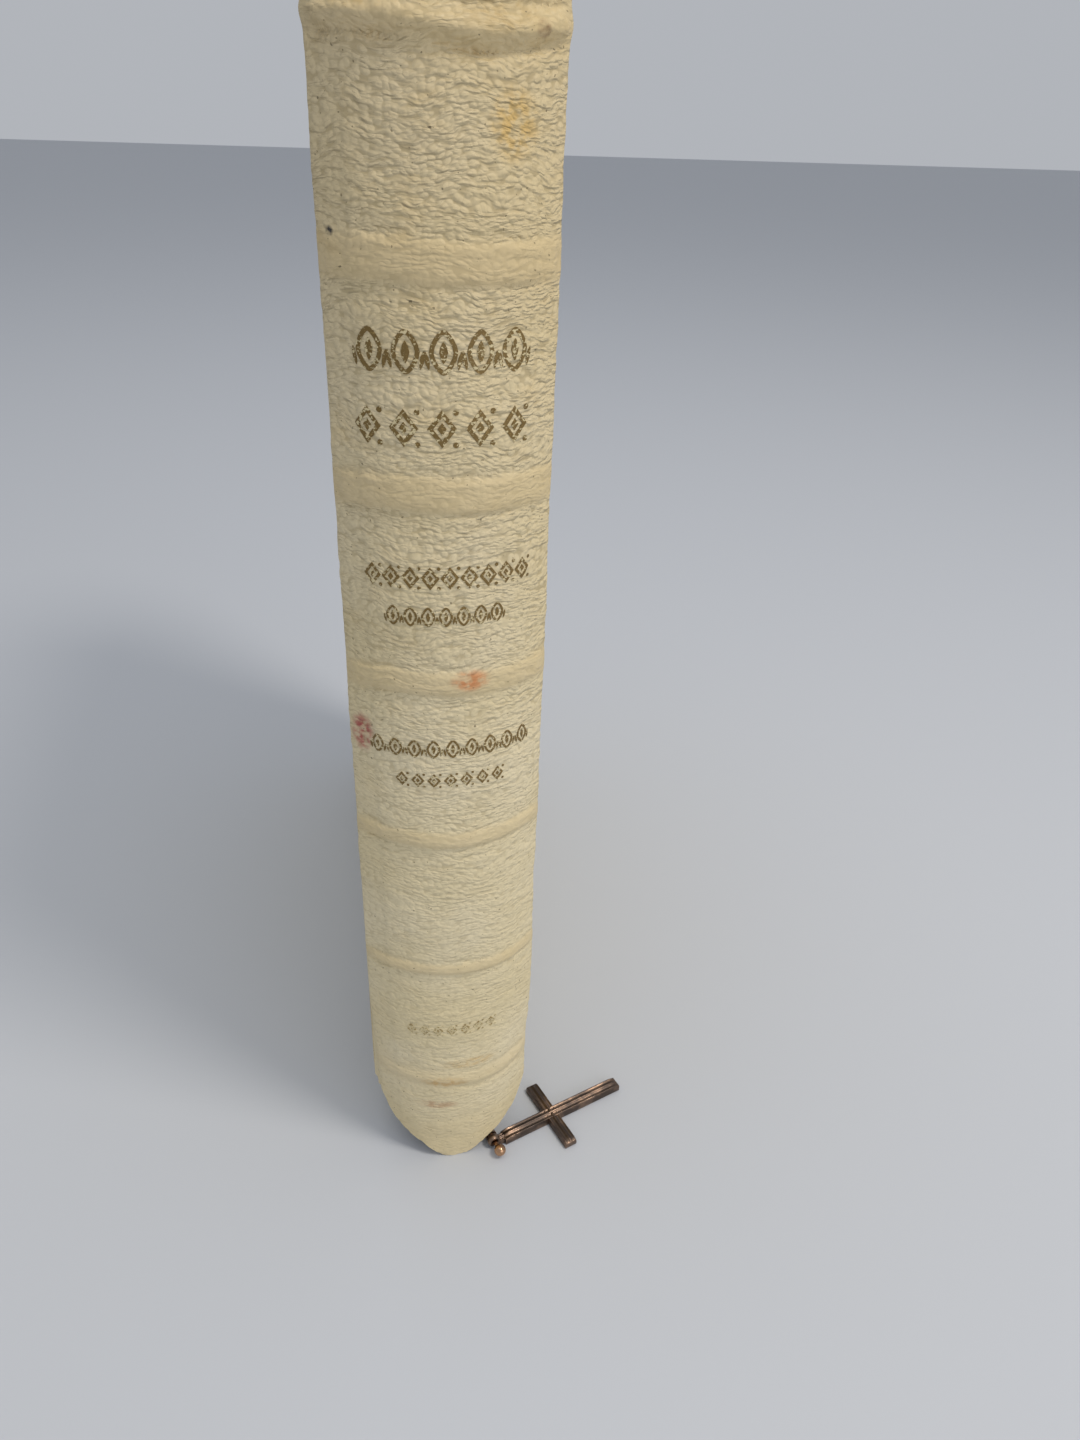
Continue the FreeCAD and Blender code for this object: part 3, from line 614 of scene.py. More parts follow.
def edgePoint(part, share, inset):
    # a place on the U of a cover's free edges: tail, corner, fore-edge, corner, head
    if part >= 3 or (part == 2 and share > 0.5):
        mirrored = edgePoint(4 - part, 1 - share, inset)
        return Vector((0, mirrored.y, binding["height"] - mirrored.z))
    if part == 0:
        end = turnPoint(0, inset)
        run = end.y - binding["coverStart"]
        start = Vector((0, binding["coverStart"], end.z + run * math.tan(binding["tailSlope"])))
        return start.lerp(end, share)
    if part == 1:
        return turnPoint(share, inset)
    start = turnPoint(1, inset)
    return start.lerp(Vector((0, start.y, binding["height"] - start.z)), share)


def alongEdge(distance, inset):
    # the place this far along the U and the way it runs there
    slope = binding["tailSlope"]
    ends = [edgePoint(part, share, inset) for part in (0, 2, 4) for share in (0.0, 1.0)]
    turn = (binding["cornerRadius"] - inset) * (math.pi / 2 + slope)
    tail, fore, head = [(ends[i + 1] - ends[i]).length for i in (0, 2, 4)]
    lengths = [tail, turn, fore, turn, head]
    part = 0
    while part < 4 and distance > lengths[part]:
        distance -= lengths[part]
        part += 1
    share = distance / lengths[part]
    step = 0.002
    before, after = share - step, share + step
    if part in (1, 3):
        before, after = max(before, 0), min(after, 1)
    ahead, behind = edgePoint(part, after, inset), edgePoint(part, before, inset)
    if part == 2:
        return edgePoint(part, share, inset), Vector((0, 0, 1))
    return edgePoint(part, share, inset), (ahead - behind).normalized()


def edgeStations():
    counts = [23, coverLook["cornerSteps"], 34, coverLook["cornerSteps"], 23]
    stations = [(0, 0.0)]
    for part, count in enumerate(counts):
        stations += [(part, i / count) for i in range(1, count + 1)]
    return stations


def skirtProfile():
    # from the inside of the face, round the rim, to the outside of the face: (x, inset)
    half, yapp, leather = binding["half"], binding["yapp"], binding["leather"]
    rimIn, rimOut = binding["rimIn"], binding["rimOut"]
    steps = 10
    points = []
    for i in range(steps, -1, -1):
        angle = math.pi / 2 * i / steps
        points.append((rimOut + (half - leather - rimOut) * math.sin(angle),
                       yapp - (yapp - leather) * math.cos(angle)))
    points += [(rimIn + 0.2 * mm, leather), (rimIn, leather - 0.25 * mm), (rimIn, 0.25 * mm),
               (rimIn + 0.2 * mm, 0)]
    points += [(coverLook["notchIn"], 0), (coverLook["notchIn"] + 0.08 * mm, coverLook["notchDeep"]),
               (coverLook["notchOut"] - 0.08 * mm, coverLook["notchDeep"]), (coverLook["notchOut"], 0)]
    for i in range(steps + 1):
        angle = math.pi / 2 * i / steps
        points.append((rimOut + (half - rimOut) * math.sin(angle), yapp - yapp * math.cos(angle)))
    inset = yapp / mm + coverLook["ringStep"] / 2
    while inset < coverLook["ringLast"]:
        points.append((half, inset * mm))
        inset += coverLook["ringStep"]
    return points


def makeCover(side, body, node):
    stations = edgeStations()
    profile = skirtProfile()
    columns, rows = len(profile), len(stations)
    cover = newGrid(columns - 1, rows - 1)
    innerX = binding["half"] - binding["leather"]
    for vertex in cover.data.vertices:
        column = round((vertex.co.x + 1) / 2 * (columns - 1))
        row = round((vertex.co.y + 1) / 2 * (rows - 1))
        x, inset = profile[column]
        part, share = stations[row]
        point = edgePoint(part, share, inset)
        if column > columns / 2:
            reach = smoothStep(0.15, 1.0, inset / binding["yapp"])
            soft = noise.noise(Vector((point.y * 32, point.z * 32, side * 5.0)))
            soft += 0.5 * noise.noise(Vector((point.y * 90, point.z * 90, side * 2.0)))
            fade = smoothStep(0, 6 * mm, point.y - binding["coverStart"])
            middle = 1 - smoothStep(85, 99, inset / mm)
            x += coverLook["warp"] * (soft - 0.5) * reach * fade * middle
        vertex.co = Vector((side * x, point.y, point.z))
    editAll(cover, lambda: bpy.ops.mesh.remove_doubles(threshold=2e-6))
    # the inside face, the middle of the outside face, then the wall along the joint are filled
    fillLoop(cover, lambda v: abs(abs(v.co.x) - innerX) < 2e-6)
    last = profile[-1][1]
    fillLoop(cover, lambda v: insetOf(v.co) > last - 0.3 * mm and abs(v.co.x) > innerX + 0.3 * mm)
    fillLoop(cover, lambda v: v.co.y < binding["coverStart"] + 1e-6)
    closeSkin(cover, 40)
    return settle(cover, node + "_skin", body, finishes["leather"], [node])


def insetOf(point):
    # how far in from the nearest free edge a place well inside the face lies
    slope = binding["tailSlope"]
    z = min(point.z, binding["height"] - point.z)
    fromTail = binding["cornerRadius"] + (z - binding["cornerRadius"]) * math.cos(slope) + (
        point.y - turnY) * math.sin(slope)
    return min(binding["foreEdge"] - point.y, fromTail)


def fillLoop(piece, test):
    selectWhere(piece, test)
    bpy.ops.mesh.edge_face_add()
    bpy.ops.object.mode_set(mode="OBJECT")


makeCover(1, "front_cover", "front_cover_leather")
makeCover(-1, "back_cover", "back_cover_leather")
print("covers made")


# leather strips over the two joints, where the covers hinge
jointLook = {
    "end": 15.2 * mm,           # clear of the turned ends
    "overlap": 0.25 * mm,
    "dip": 0.22 * mm,
    "sink": 0.05 * mm,
    "thick": 0.7 * mm,
}


def makeJoint(side, name):
    strip = newGrid(10, 180)
    low = jointLook["end"]
    high = binding["height"] - low
    overlap = jointLook["overlap"]
    start, end = binding["sideEnd"] - overlap, binding["coverStart"] + overlap
    for vertex in strip.data.vertices:
        share = (vertex.co.x + 1) / 2
        z = low + (high - low) * (vertex.co.y + 1) / 2
        dip = jointLook["dip"] * math.sin(math.pi * share) + jointLook["sink"]
        vertex.co = pinched(Vector((side * (binding["half"] - dip), start + (end - start) * share, z)))
    editAll(strip, bpy.ops.mesh.normals_make_consistent)
    if strip.data.polygons[0].normal.x * side < 0:
        editAll(strip, bpy.ops.mesh.flip_normals)
    applyModifier(strip, "SOLIDIFY", thickness=jointLook["thick"], offset=-1.0)
    smoothAt(strip, 50)
    settle(strip, name, None, finishes["leather"])
    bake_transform(strip)


makeJoint(1, "front_joint_leather")
makeJoint(-1, "back_joint_leather")
print("joints made")


# gold ornaments pressed on the spine, where a binder sets a title
foilLook = {
    "stand": 0.05 * mm,
    "rows": [
        # height up the spine, middle, half width and ornament height in mm, how many, shape
        (153.5, -0.5, 11.6, 5.4, 5, "leaf"),
        (144.2, -0.8, 12.1, 4.8, 5, "lozenge"),
        (123.8, 0.0, 12.1, 3.3, 9, "lozenge"),
        (118.0, -0.6, 8.6, 3.0, 7, "leaf"),
        (96.0, 0.2, 13.0, 3.2, 9, "leaf"),
        (90.3, -0.2, 8.7, 2.6, 7, "lozenge"),
    ],
    "fadedRows": [(35.5, -0.5, 8.6, 2.5, 7, "lozenge")],
}


def makeRing(sides, wide, tall, band, pointed):
    # a closed outline of foil, band wide; pointed makes a leaf of a circle
    bpy.ops.object.select_all(action="DESELECT")
    bpy.ops.mesh.primitive_circle_add(vertices=sides, radius=1.0, fill_type="NGON")
    ring = bpy.context.object
    for vertex in ring.data.vertices:
        taper = 1 - pointed * abs(vertex.co.y) ** 1.6
        vertex.co = Vector((vertex.co.x * wide * taper, vertex.co.y * tall, 0))
    if band:
        choose(ring)
        bpy.ops.object.mode_set(mode="EDIT")
        bpy.ops.mesh.select_all(action="SELECT")
        bpy.ops.mesh.inset(thickness=band)
        bpy.ops.mesh.delete(type="FACE")
        bpy.ops.object.mode_set(mode="OBJECT")
        editAll(ring, lambda: bpy.ops.mesh.subdivide(number_cuts=1))
    return ring


def makeOrnament(shape, tall):
    # one stamp, as wide as it is suits its height, in millimetres about its own middle
    half = tall / 2
    if shape == "leaf":
        parts = [makeRing(20, half * 0.66, half, half * 0.21, 0.35),
                 makeRing(12, half * 0.2, half * 0.5, 0, 0.6)]
        for side in (-1, 1):
            stem = makeRing(10, half * 0.12, half * 0.42, 0, 0.5)
            for vertex in stem.data.vertices:
                x, y = vertex.co.x + side * half * 0.82, vertex.co.y - half * 0.35
                vertex.co = Vector((x + side * 0.2 * y, y, 0))
            parts.append(stem)
    else:
        parts = [makeRing(4, half * 0.78, half, half * 0.24, 0), makeRing(4, half * 0.24, half * 0.34, 0, 0)]
        for side in (-1, 1):
            dot = makeRing(8, half * 0.16, half * 0.16, 0, 0)
            for vertex in dot.data.vertices:
                vertex.co.y += side * half * 0.86
                vertex.co.x += half * 0.72
            parts.append(dot)
    return joinPieces(parts)


def makeFoil(rows, name, material):
    stamps = []
    for height, middle, halfWide, tall, count, shape in rows:
        stamp = makeOrnament(shape, tall)
        for i in range(count):
            copied = copyOf(stamp)
            across = middle - halfWide + 2 * halfWide * (i + 0.5) / count
            for vertex in copied.data.vertices:
                vertex.co = Vector((vertex.co.x + across, vertex.co.y + height, 0))
            stamps.append(copied)
        bpy.data.objects.remove(stamp)
    foil = joinPieces(stamps)
    editAll(foil, bpy.ops.mesh.normals_make_consistent)
    for vertex in foil.data.vertices:
        around, z = vertex.co.x * mm, vertex.co.y * mm
        base, way = sectionPoint(around)
        lift = spineLift(around, z)[0] + foilLook["stand"]
        vertex.co = pinched(base + way * lift + Vector((0, 0, z)))
    applyModifier(foil, "SOLIDIFY", thickness=0.03 * mm, offset=0.0)
    return settle(foil, name, "book", material)


makeFoil(foilLook["rows"], "spine_ornaments", finishes["foil"])
makeFoil(foilLook["fadedRows"], "faded_ornaments", finishes["faded_foil"])
print("ornaments made")


# zip teeth, stops and stitching, each made once and copied round the edge
zipLook = {
    "inset": 1.55 * mm,         # middle of the chain, in from the edge
    "pitch": 2.54 * mm,
    "first": 13.01 * mm,
    "endGap": 4.0 * mm,
    "reach": -0.45 * mm,        # how far past the middle a meshed head goes
    "partedReach": 0.85 * mm,   # heads along the tail, where the slider's wedge parts the rows
    "partedBevel": 0.05 * mm,
    "meshedBevel": 0.1 * mm,
    "neck": 1.25 * mm,          # where a head leaves its heel
    "stopWide": 1.4 * mm,
    "stopLong": 1.7 * mm,
    "slideRun": 109 * mm,
    "heel": 2.5 * mm,
    "thick": 2.8 * mm,
    "stitchPitch": 3.0 * mm,
    "stitchX": 6.4 * mm,
}


def edgeTotal(inset):
    slope = binding["tailSlope"]
    tail = (edgePoint(0, 1.0, inset) - edgePoint(0, 0.0, inset)).length
    fore = (edgePoint(2, 1.0, inset) - edgePoint(2, 0.0, inset)).length
    return 2 * tail + fore + 2 * (binding["cornerRadius"] - inset) * (math.pi / 2 + slope)


def makeTooth(reach):
    # local +X is the heel on the tape, +Y runs along the chain, Z is through the thickness
    deselect()
    bpy.ops.mesh.primitive_cube_add(size=1.0)
    tooth = bpy.context.object
    for vertex in tooth.data.vertices:
        x = zipLook["heel"] if vertex.co.x > 0 else zipLook["neck"]
        vertex.co = Vector((x, vertex.co.y * 1.2 * mm, vertex.co.z * zipLook["thick"]))
    selectWhere(tooth, lambda v: v.co.x < 1.3 * mm)
    bpy.ops.mesh.select_mode(type="FACE")
    for share, wide, tall in ((0.32, 0.62, 0.66), (0.44, 1.25, 1.0), (0.24, 0.6, 0.72)):
        step = (reach - zipLook["neck"]) * share
        bpy.ops.mesh.extrude_region_move(TRANSFORM_OT_translate={"value": (step, 0, 0)})
        bpy.ops.transform.resize(value=(1, wide, tall))
    bpy.ops.object.mode_set(mode="OBJECT")
    width = zipLook["partedBevel"] if reach > 0 else zipLook["meshedBevel"]
    applyModifier(tooth, "BEVEL", width=width, segments=1, **byAngle(35))
    editAll(tooth, bpy.ops.mesh.normals_make_consistent)
    return tooth


def makeStop():
    deselect()
    bpy.ops.mesh.primitive_cube_add(size=1.0)
    stop = bpy.context.object
    for vertex in stop.data.vertices:
        x = 1.1 * mm + (vertex.co.x + 0.5) * zipLook["stopWide"]
        vertex.co = Vector((x, vertex.co.y * zipLook["stopLong"], vertex.co.z * zipLook["thick"]))
    applyModifier(stop, "BEVEL", width=0.4 * mm, segments=3)
    return stop


def makeStitch():
    # one thread of the lockstitch, sunk into the leather at both ends
    deselect()
    bpy.ops.mesh.primitive_uv_sphere_add(segments=8, ring_count=6, radius=0.5, rotation=(math.pi / 2, 0, 0))
    stitch = bpy.context.object
    bpy.ops.object.transform_apply(rotation=True)
    for vertex in stitch.data.vertices:
        y = vertex.co.y * 2.5 * mm
        sink = 0.16 * mm * (abs(vertex.co.y) / 0.5) ** 2
        x = vertex.co.x * 0.52 * mm + vertex.co.y * 0.12 * mm
        vertex.co = Vector((x, y, vertex.co.z * 0.42 * mm + sink))
    return stitch


def layAlong(model, places, inset, side, x):
    # copies of a model, each with its own mesh, turned to run along the U of one cover
    copies = []
    for place in places:
        point, way = alongEdge(place, inset)
        across = Vector((side, 0, 0))
        inward = across.cross(way) * side
        copied = copyOf(model)
        for vertex in copied.data.vertices:
            local = vertex.co.copy()
            vertex.co = point + across * (x + local.x) + way * local.y + inward * local.z
        copies.append(copied)
    bpy.data.objects.remove(model)
    return joinPieces(copies)


def spaced(first, last, step):
    return [first + step * i for i in range(int((last - first) / step) + 1)]


chainEnd = edgeTotal(zipLook["inset"])
for side, body, prefix, shift in ((1, "front_cover", "front", 0.0), (-1, "back_cover", "back", 0.5)):
    first = zipLook["first"] + shift * zipLook["pitch"]
    places = spaced(first, chainEnd - zipLook["endGap"], zipLook["pitch"])
    parted = [place for place in places if place < zipLook["slideRun"]]
    meshed = [place for place in places if place >= zipLook["slideRun"]]
    teeth = joinPieces([
        layAlong(makeTooth(zipLook["partedReach"]), parted, zipLook["inset"], side, 0.0),
        layAlong(makeTooth(zipLook["reach"]), meshed, zipLook["inset"], side, 0.0)])
    closeSkin(teeth, 30)
    settle(teeth, prefix + "_teeth", body, finishes["brass"], [prefix + "_zip_teeth"])
    ends = [zipLook["first"] - 1.9 * mm, chainEnd - 2.2 * mm]
    stops = layAlong(makeStop(), ends, zipLook["inset"], side, 0.0)
    closeSkin(stops, 30)
    settle(stops, prefix + "_stops", body, finishes["brass"], [prefix + "_zip_stops"])
    runs = spaced(2.0 * mm, edgeTotal(0) - 2.0 * mm, zipLook["stitchPitch"])
    thread = layAlong(makeStitch(), runs, 0.14 * mm, side, zipLook["stitchX"])
    closeSkin(thread, 60)
    settle(thread, prefix + "_thread", body, finishes["thread"], [prefix + "_stitching"])
print("zip made")


tapeLook = {
    # across the tape, from its free edge to the corded edge and back: (x, inset) in mm
    "section": [(8.0, 1.42), (6.0, 1.42), (4.0, 1.42), (2.4, 1.4), (2.0, 1.26), (1.6, 1.2), (1.3, 1.34),
                (1.2, 1.55), (1.3, 1.76), (1.6, 1.9), (2.0, 1.84), (2.4, 1.7), (4.0, 1.68), (6.0, 1.68),
                (8.0, 1.68)],
    "ripple": 0.05 * mm,
}


def makeTape(side, body, prefix):
    # woven tape with a corded edge that the teeth are clamped on
    stations = edgeStations()
    section = tapeLook["section"] + tapeLook["section"][:1]
    columns, rows = len(section), len(stations)
    tape = newGrid(columns - 1, rows - 1)
    for vertex in tape.data.vertices:
        x, inset = section[round((vertex.co.x + 1) / 2 * (columns - 1))]
        part, share = stations[round((vertex.co.y + 1) / 2 * (rows - 1))]
        ripple = tapeLook["ripple"] * noise.noise(Vector((x * 0.4, part + share * 9, side * 3.0)))
        point = edgePoint(part, share, inset * mm + ripple)
        vertex.co = Vector((side * x * mm, point.y, point.z))
    editAll(tape, lambda: bpy.ops.mesh.remove_doubles(threshold=2e-6))
    atJoint = binding["coverStart"] + 1e-6
    fillLoop(tape, lambda v: v.co.y < atJoint and v.co.z < midHeight)
    fillLoop(tape, lambda v: v.co.y < atJoint and v.co.z > midHeight)
    closeSkin(tape, 50)
    return settle(tape, prefix + "_tape", body, finishes["zip_cloth"], [prefix + "_zip_tape"])


makeTape(1, "front_cover", "front")
makeTape(-1, "back_cover", "back")
print("tapes made")


# slider, link and pin: the frame's own shapes with their edges cast soft
def softened(node, name, body, finish, width, segments=2):
    deselect()
    source = frame["nodes"][node]
    piece = copyOf(source)
    world = source.matrix_world.copy()
    piece.parent = None
    piece.matrix_world = world
    editAll(piece, lambda: bpy.ops.mesh.remove_doubles(threshold=2e-6),
            lambda: bpy.ops.mesh.dissolve_limited(angle_limit=math.radians(1)),
            bpy.ops.mesh.normals_make_consistent)
    applyModifier(piece, "BEVEL", width=width, segments=segments, use_clamp_overlap=True,
                  **byAngle(40))
    applyModifier(piece, "TRIANGULATE")
    smoothAt(piece, 40)
    return settle(piece, name, body, finish, [node])


softened("slider", "zip_slider", "slider", finishes["old_brass"], 0.16 * mm)
softened("pull_link", "pull_link_cast", "pull_link", finishes["old_brass"], 0.1 * mm)
softened("pull_pin", "pull_pin_cast", "pull_link", finishes["bright_brass"], 0.06 * mm)

crossLook = {
    "pin": (7.7 * mm, 0.5 * mm, 1.6386 * mm),
    "turn": math.radians(21),
    "toBar": 13.4 * mm,
    "lower": 16.2 * mm,
    "barHalf": 7.9 * mm,
    "halfWide": 1.3 * mm,
    "ringRadius": 0.94 * mm,    # the eye that the pin goes through
    "ringThick": 0.36 * mm,
    "base": 0.1 * mm,
    "thick": 1.85 * mm,
    "across": 16,
    "along": 24,
}


def fluteHeight(share, depth):
    # top of an arm across its width: a rim each side and a rib between two flutes
    rim = math.exp(-((abs(share) - 0.8) / 0.13) ** 2)
    rib = math.exp(-(share / 0.2) ** 2)
    fall = 0.3 * smoothStep(0.86, 1.0, abs(share))
    return crossLook["thick"] * (0.8 + (0.12 * rim + 0.2 * rib) * depth - fall)


def makeArm(start, end, halfWide, lift=0.0):
    # a fluted bar from start to end along X, with its ends dressed round
    arm = newGrid(crossLook["along"], crossLook["across"])
    length = end - start
    for vertex in arm.data.vertices:
        share = vertex.co.y
        x = start + length * (vertex.co.x + 1) / 2
        endFall = 1 - smoothStep(0, 0.45 * mm, min(x - start, end - x))
        worn = 0.03 * mm * noise.noise(Vector((x * 420, share * 2.2, start * 900)))
        height = fluteHeight(share, 1 - endFall) * (1 - 0.1 * endFall) + worn + lift
        vertex.co = Vector((x, share * halfWide, crossLook["base"] + height))
    choose(arm)
    bpy.ops.object.mode_set(mode="EDIT")
    bpy.ops.mesh.select_all(action="SELECT")
    bpy.ops.mesh.extrude_region_move(TRANSFORM_OT_translate={"value": (0, 0, -1 * mm)})
    bpy.ops.object.mode_set(mode="OBJECT")
    for vertex in arm.data.vertices:
        if vertex.select:
            vertex.co.z = crossLook["base"]
    editAll(arm, bpy.ops.mesh.normals_make_consistent)
    applyModifier(arm, "BEVEL", width=0.12 * mm, segments=2, **byAngle(60))
    return arm


def makeCross():
    pin = Vector(crossLook["pin"])
    upright = makeArm(2.2 * mm, crossLook["toBar"] + crossLook["lower"], crossLook["halfWide"])
    bar = makeArm(-crossLook["barHalf"], crossLook["barHalf"], crossLook["halfWide"], -0.06 * mm)
    for vertex in bar.data.vertices:
        vertex.co = Vector((crossLook["toBar"] - vertex.co.y, vertex.co.x, vertex.co.z))
    neck = makeArm(0.8 * mm, 2.8 * mm, 0.8 * mm, -0.25 * mm)
    deselect()
    bpy.ops.mesh.primitive_torus_add(
        major_segments=28, minor_segments=10, major_radius=crossLook["ringRadius"],
        minor_radius=crossLook["ringThick"], location=(0, 0, pin.z), rotation=(math.pi / 2, 0, 0))
    knuckle = bpy.context.object
    bpy.ops.object.transform_apply(location=True, rotation=True)
    for vertex in knuckle.data.vertices:
        vertex.co.y *= 2.0
    cross = joinPieces([upright, bar, neck, knuckle])
    turn = Matrix.Rotation(crossLook["turn"], 4, "Z")
    for vertex in cross.data.vertices:
        vertex.co = turn @ vertex.co + Vector((pin.x, pin.y, 0))
    smoothAt(cross, 45)
    return settle(cross, "cross_cast", "pull_cross", finishes["old_brass"], ["pull_cross"])


makeCross()
print("pull made")


# text block, its loose leaves and its sewn bands
blockLook = {
    "leafGroups": 110,
    "unevenFore": 0.16 * mm,
    "unevenEnds": 0.12 * mm,
    "leafThick": 0.16 * mm,
    "curl": 0.1 * mm,
    "pastedownThick": 0.26 * mm,
    "pastedownCurl": 0.03 * mm,
    "mullThick": 0.3 * mm,
    "sewingTapeThick": 0.25 * mm,
    "sewingTapeHalf": 6 * mm,
    "sewingTapeShares": (0.27, 0.5, 0.73),
    "wraps": 34,                # turns of silk on each end band
}


def roundBack(radius, angle, z):
    # a place on the rounded back of the leaves
    return Vector((radius * math.sin(angle), spineCentre - radius * math.cos(angle), z))


def makeBlock():
    # leaves cut a little uneven, so their edges catch light as fine lines
    low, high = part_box("signatures")
    groups = blockLook["leafGroups"]
    dice = random.Random(7)
    offsets = [[dice.uniform(0, 1) for corner in range(3)] for group in range(groups)]
    backRadius = spineCentre - low.y
    block = newGrid(2 * groups - 1, 4)
    for vertex in block.data.vertices:
        step = round((vertex.co.x + 1) / 2 * (2 * groups - 1))
        corner = round((vertex.co.y + 1) / 2 * 4) % 4
        group = step // 2
        x = low.x + (high.x - low.x) * (group + step % 2) / groups
        fore, tail, head = offsets[group]
        back = spineCentre - math.sqrt(max(backRadius ** 2 - x * x, 0))
        y = back if corner in (0, 3) else high.y - blockLook["unevenFore"] * fore
        uneven = blockLook["unevenEnds"]
        z = low.z + uneven * tail if corner in (0, 1) else high.z - uneven * head
        vertex.co = Vector((x, y, z))
    editAll(block, lambda: bpy.ops.mesh.remove_doubles(threshold=1e-7))
    for end in (low.x, high.x):
        fillLoop(block, lambda v: abs(v.co.x - end) < 1e-7)
    editAll(block, bpy.ops.mesh.normals_make_consistent)
    piece = settle(block, "page_block", "book", finishes["paper"], ["signatures"])
    piece.data.materials.append(finishes["plain_paper"])
    for face in piece.data.polygons:
        if abs(face.normal.x) > 0.9 and face.area > 1e-3:
            face.material_index = 1
    return piece


def makeLeaf(node, body, thick, curl):
    # a sheet that has taken a slight cockle
    low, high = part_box(node)
    leaf = newGrid(28, 36)
    middle = (low.x + high.x) / 2
    for vertex in leaf.data.vertices:
        across, up = (vertex.co.x + 1) / 2, (vertex.co.y + 1) / 2
        cockle = curl * noise.noise(Vector((across * 3.1, up * 4.3, middle * 700)))
        y, z = low.y + (high.y - low.y) * across, low.z + (high.z - low.z) * up
        vertex.co = Vector((middle + cockle * across, y, z))
    applyModifier(leaf, "SOLIDIFY", thickness=thick, offset=0.0)
    closeSkin(leaf, 40)
    return settle(leaf, node + "_sheet", body, finishes["endpaper"], [node])


def makeEndBand(node):
    # silk wound round a cord, turn by turn, along the rounded back
    low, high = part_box(node)
    middleZ = (low.z + high.z) / 2
    bead = (high.z - low.z) / 2
    radius = spineCentre - low.y - bead
    reach = math.asin(min((high.x - 0.2 * mm) / radius, 1.0))
    wraps = []
    for i in range(blockLook["wraps"]):
        angle = -reach + 2 * reach * (i + 0.5) / blockLook["wraps"]
        run = 2 * reach * radius / blockLook["wraps"]
        deselect()
        bpy.ops.mesh.primitive_torus_add(
            major_segments=14, minor_segments=6, major_radius=bead - run * 0.55, minor_radius=run * 0.55,
            rotation=(0, math.pi / 2, angle), location=roundBack(radius, angle, middleZ))
        bpy.ops.object.transform_apply(location=True, rotation=True)
        wraps.append(bpy.context.object)
    band = joinPieces(wraps)
    smoothAt(band, 60)
    return settle(band, node + "_silk", "book", finishes["silk"], [node])


def makeBackCloth(node, spans, thick):
    # cloth glued round the back of the leaves, with its cut edges standing a little proud
    low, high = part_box(node)
    radius = spineCentre - low.y - thick / 2
    reach = math.asin(high.x / radius)
    strips = []
    for bottom, top in spans:
        strip = newGrid(40, max(8, round((top - bottom) / (2 * mm))))
        for vertex in strip.data.vertices:
            angle = vertex.co.x * reach
            z = bottom + (top - bottom) * (vertex.co.y + 1) / 2
            proud = 0.03 * mm * noise.noise(Vector((angle * 14, z * 300, thick * 900)))
            vertex.co = roundBack(radius + proud, angle, z)
        applyModifier(strip, "SOLIDIFY", thickness=thick * 0.7, offset=0.0)
        strips.append(strip)
    cloth = joinPieces(strips)
    closeSkin(cloth, 50)
    return settle(cloth, node + "_cloth", "book", finishes["cloth"], [node])


cordLook = {
    "radius": 19.05 * mm,
    "halfHeight": 1.4 * mm,
    "halfThick": 0.2 * mm,
    "reach": math.radians(36),
}


def makeCords():
    # flat cords under the leather, one at each raised band
    cords = []
    for height in bandHeights:
        cord = newGrid(36, 10)
        for vertex in cord.data.vertices:
            angle = vertex.co.x * cordLook["reach"]
            across = vertex.co.y
            twist = 0.12 * cordLook["halfHeight"] * math.sin(angle * 60)
            radius = cordLook["radius"] - cordLook["halfThick"] * across * across
            z = height + across * cordLook["halfHeight"] + twist * (1 - across * across)
            vertex.co = roundBack(radius, angle, z)
        applyModifier(cord, "SOLIDIFY", thickness=2 * cordLook["halfThick"], offset=0.0)
        cords.append(cord)
    cord = joinPieces(cords)
    closeSkin(cord, 50)
    return settle(cord, "band_cords", "book", finishes["thread"], ["raised_bands"])


makeCords()
mullLow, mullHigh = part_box("mull")
makeBackCloth("mull", [(mullLow.z, mullHigh.z)], blockLook["mullThick"])
tapeHalf = blockLook["sewingTapeHalf"]
tapeMiddles = [(15.5 + 183 * share) * mm for share in blockLook["sewingTapeShares"]]
tapeSpans = [(middle - tapeHalf, middle + tapeHalf) for middle in tapeMiddles]
makeBackCloth("sewing_tapes", tapeSpans, blockLook["sewingTapeThick"])
makeBlock()
for node in ("front_flyleaf", "title_leaf", "back_flyleaf"):
    makeLeaf(node, node, blockLook["leafThick"], blockLook["curl"])
for side in ("front", "back"):
    makeLeaf(side + "_pastedown", side + "_cover", blockLook["pastedownThick"], blockLook["pastedownCurl"])
makeEndBand("headband")
makeEndBand("tailband")
softened("front_board", "front_board_card", "front_cover", finishes["board"], 0.25 * mm)
softened("back_board", "back_board_card", "back_cover", finishes["board"], 0.25 * mm)
print("pages made")


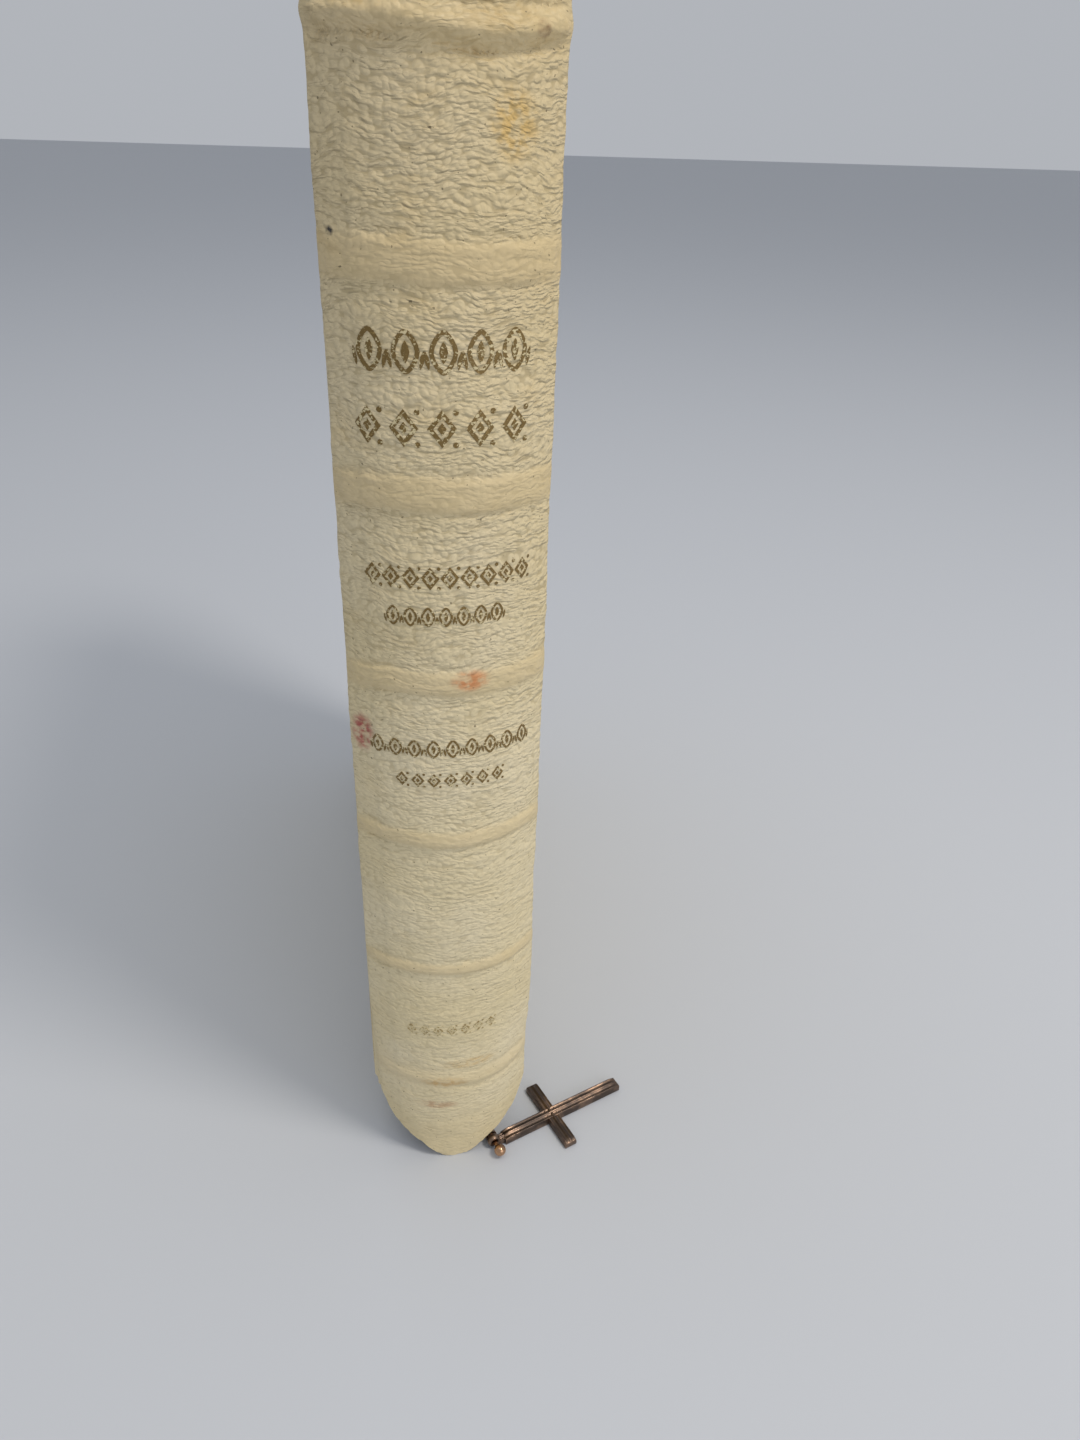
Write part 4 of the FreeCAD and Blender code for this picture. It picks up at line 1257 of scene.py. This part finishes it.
# camera, floor and lights
roomLook = {
    "floor": "#bfc2c7",
    "floorRough": 0.6,
    "sky": "#dfe3ea",
    "skyStrength": 0.6,
    # name, place, aim, size, power, colour
    "lamps": [
        ("key", (0.42, -0.28, 0.92), (0, 0.0, 0.1), 0.26, 4.2, "#fff8ee"),
        ("fill", (0.5, -0.85, 0.35), (0, 0.03, 0.08), 0.8, 2.3, "#f4f6ff"),
        ("overhead", (-0.1, 0.15, 1.0), (0, 0.0, 0.0), 0.9, 2.1, "#ffffff"),
    ],
}
cameraLook = {
    "place": (-12.31, -132.49, 182.7),   # mm from the foot of the spine
    "right": (0.9850, -0.1690, 0.0359),
    "forward": (0.1626, 0.8364, -0.5234),
    "lens": 26.25,
}


def addCamera():
    bpy.ops.object.camera_add()
    camera = bpy.context.object
    forward = Vector(cameraLook["forward"]).normalized()
    right = Vector(cameraLook["right"])
    right = (right - forward * right.dot(forward)).normalized()
    up = right.cross(forward)
    turn = Matrix((right, up, -forward)).transposed().to_4x4()
    camera.matrix_world = Matrix.Translation(Vector(cameraLook["place"]) * mm) @ turn
    camera.data.lens = cameraLook["lens"]
    camera.data.sensor_width = 36.0
    camera.data.clip_start = 0.01
    bpy.context.scene.camera = camera


def addLamp(name, place, aim, size, power, colour):
    bpy.ops.object.light_add(type="AREA", location=place)
    lamp = bpy.context.object
    lamp.name = name
    lamp.data.shape = "DISK"
    lamp.data.size = size
    lamp.data.energy = power
    lamp.data.color = hexColour(colour)[:3]
    lamp.rotation_euler = (Vector(aim) - Vector(place)).to_track_quat("-Z", "Y").to_euler()


def addFloor():
    bpy.ops.mesh.primitive_plane_add(size=6)
    floor = bpy.context.object
    floor.name = "floor"
    material, tree, shader, place = newMaterial("matteTable")
    feed(tree, shader, {"Base Color": hexColour(roomLook["floor"]), "Roughness": roomLook["floorRough"]})
    floor.data.materials.append(material)


addCamera()
addFloor()
for lamp in roomLook["lamps"]:
    addLamp(*lamp)
world = bpy.data.worlds.new("softRoom")
bpy.context.scene.world = world
world.use_nodes = True
sky = {"Color": hexColour(roomLook["sky"]), "Strength": roomLook["skyStrength"]}
feed(world.node_tree, world.node_tree.nodes["Background"], sky)
bpy.context.scene.view_settings.view_transform = "Standard"
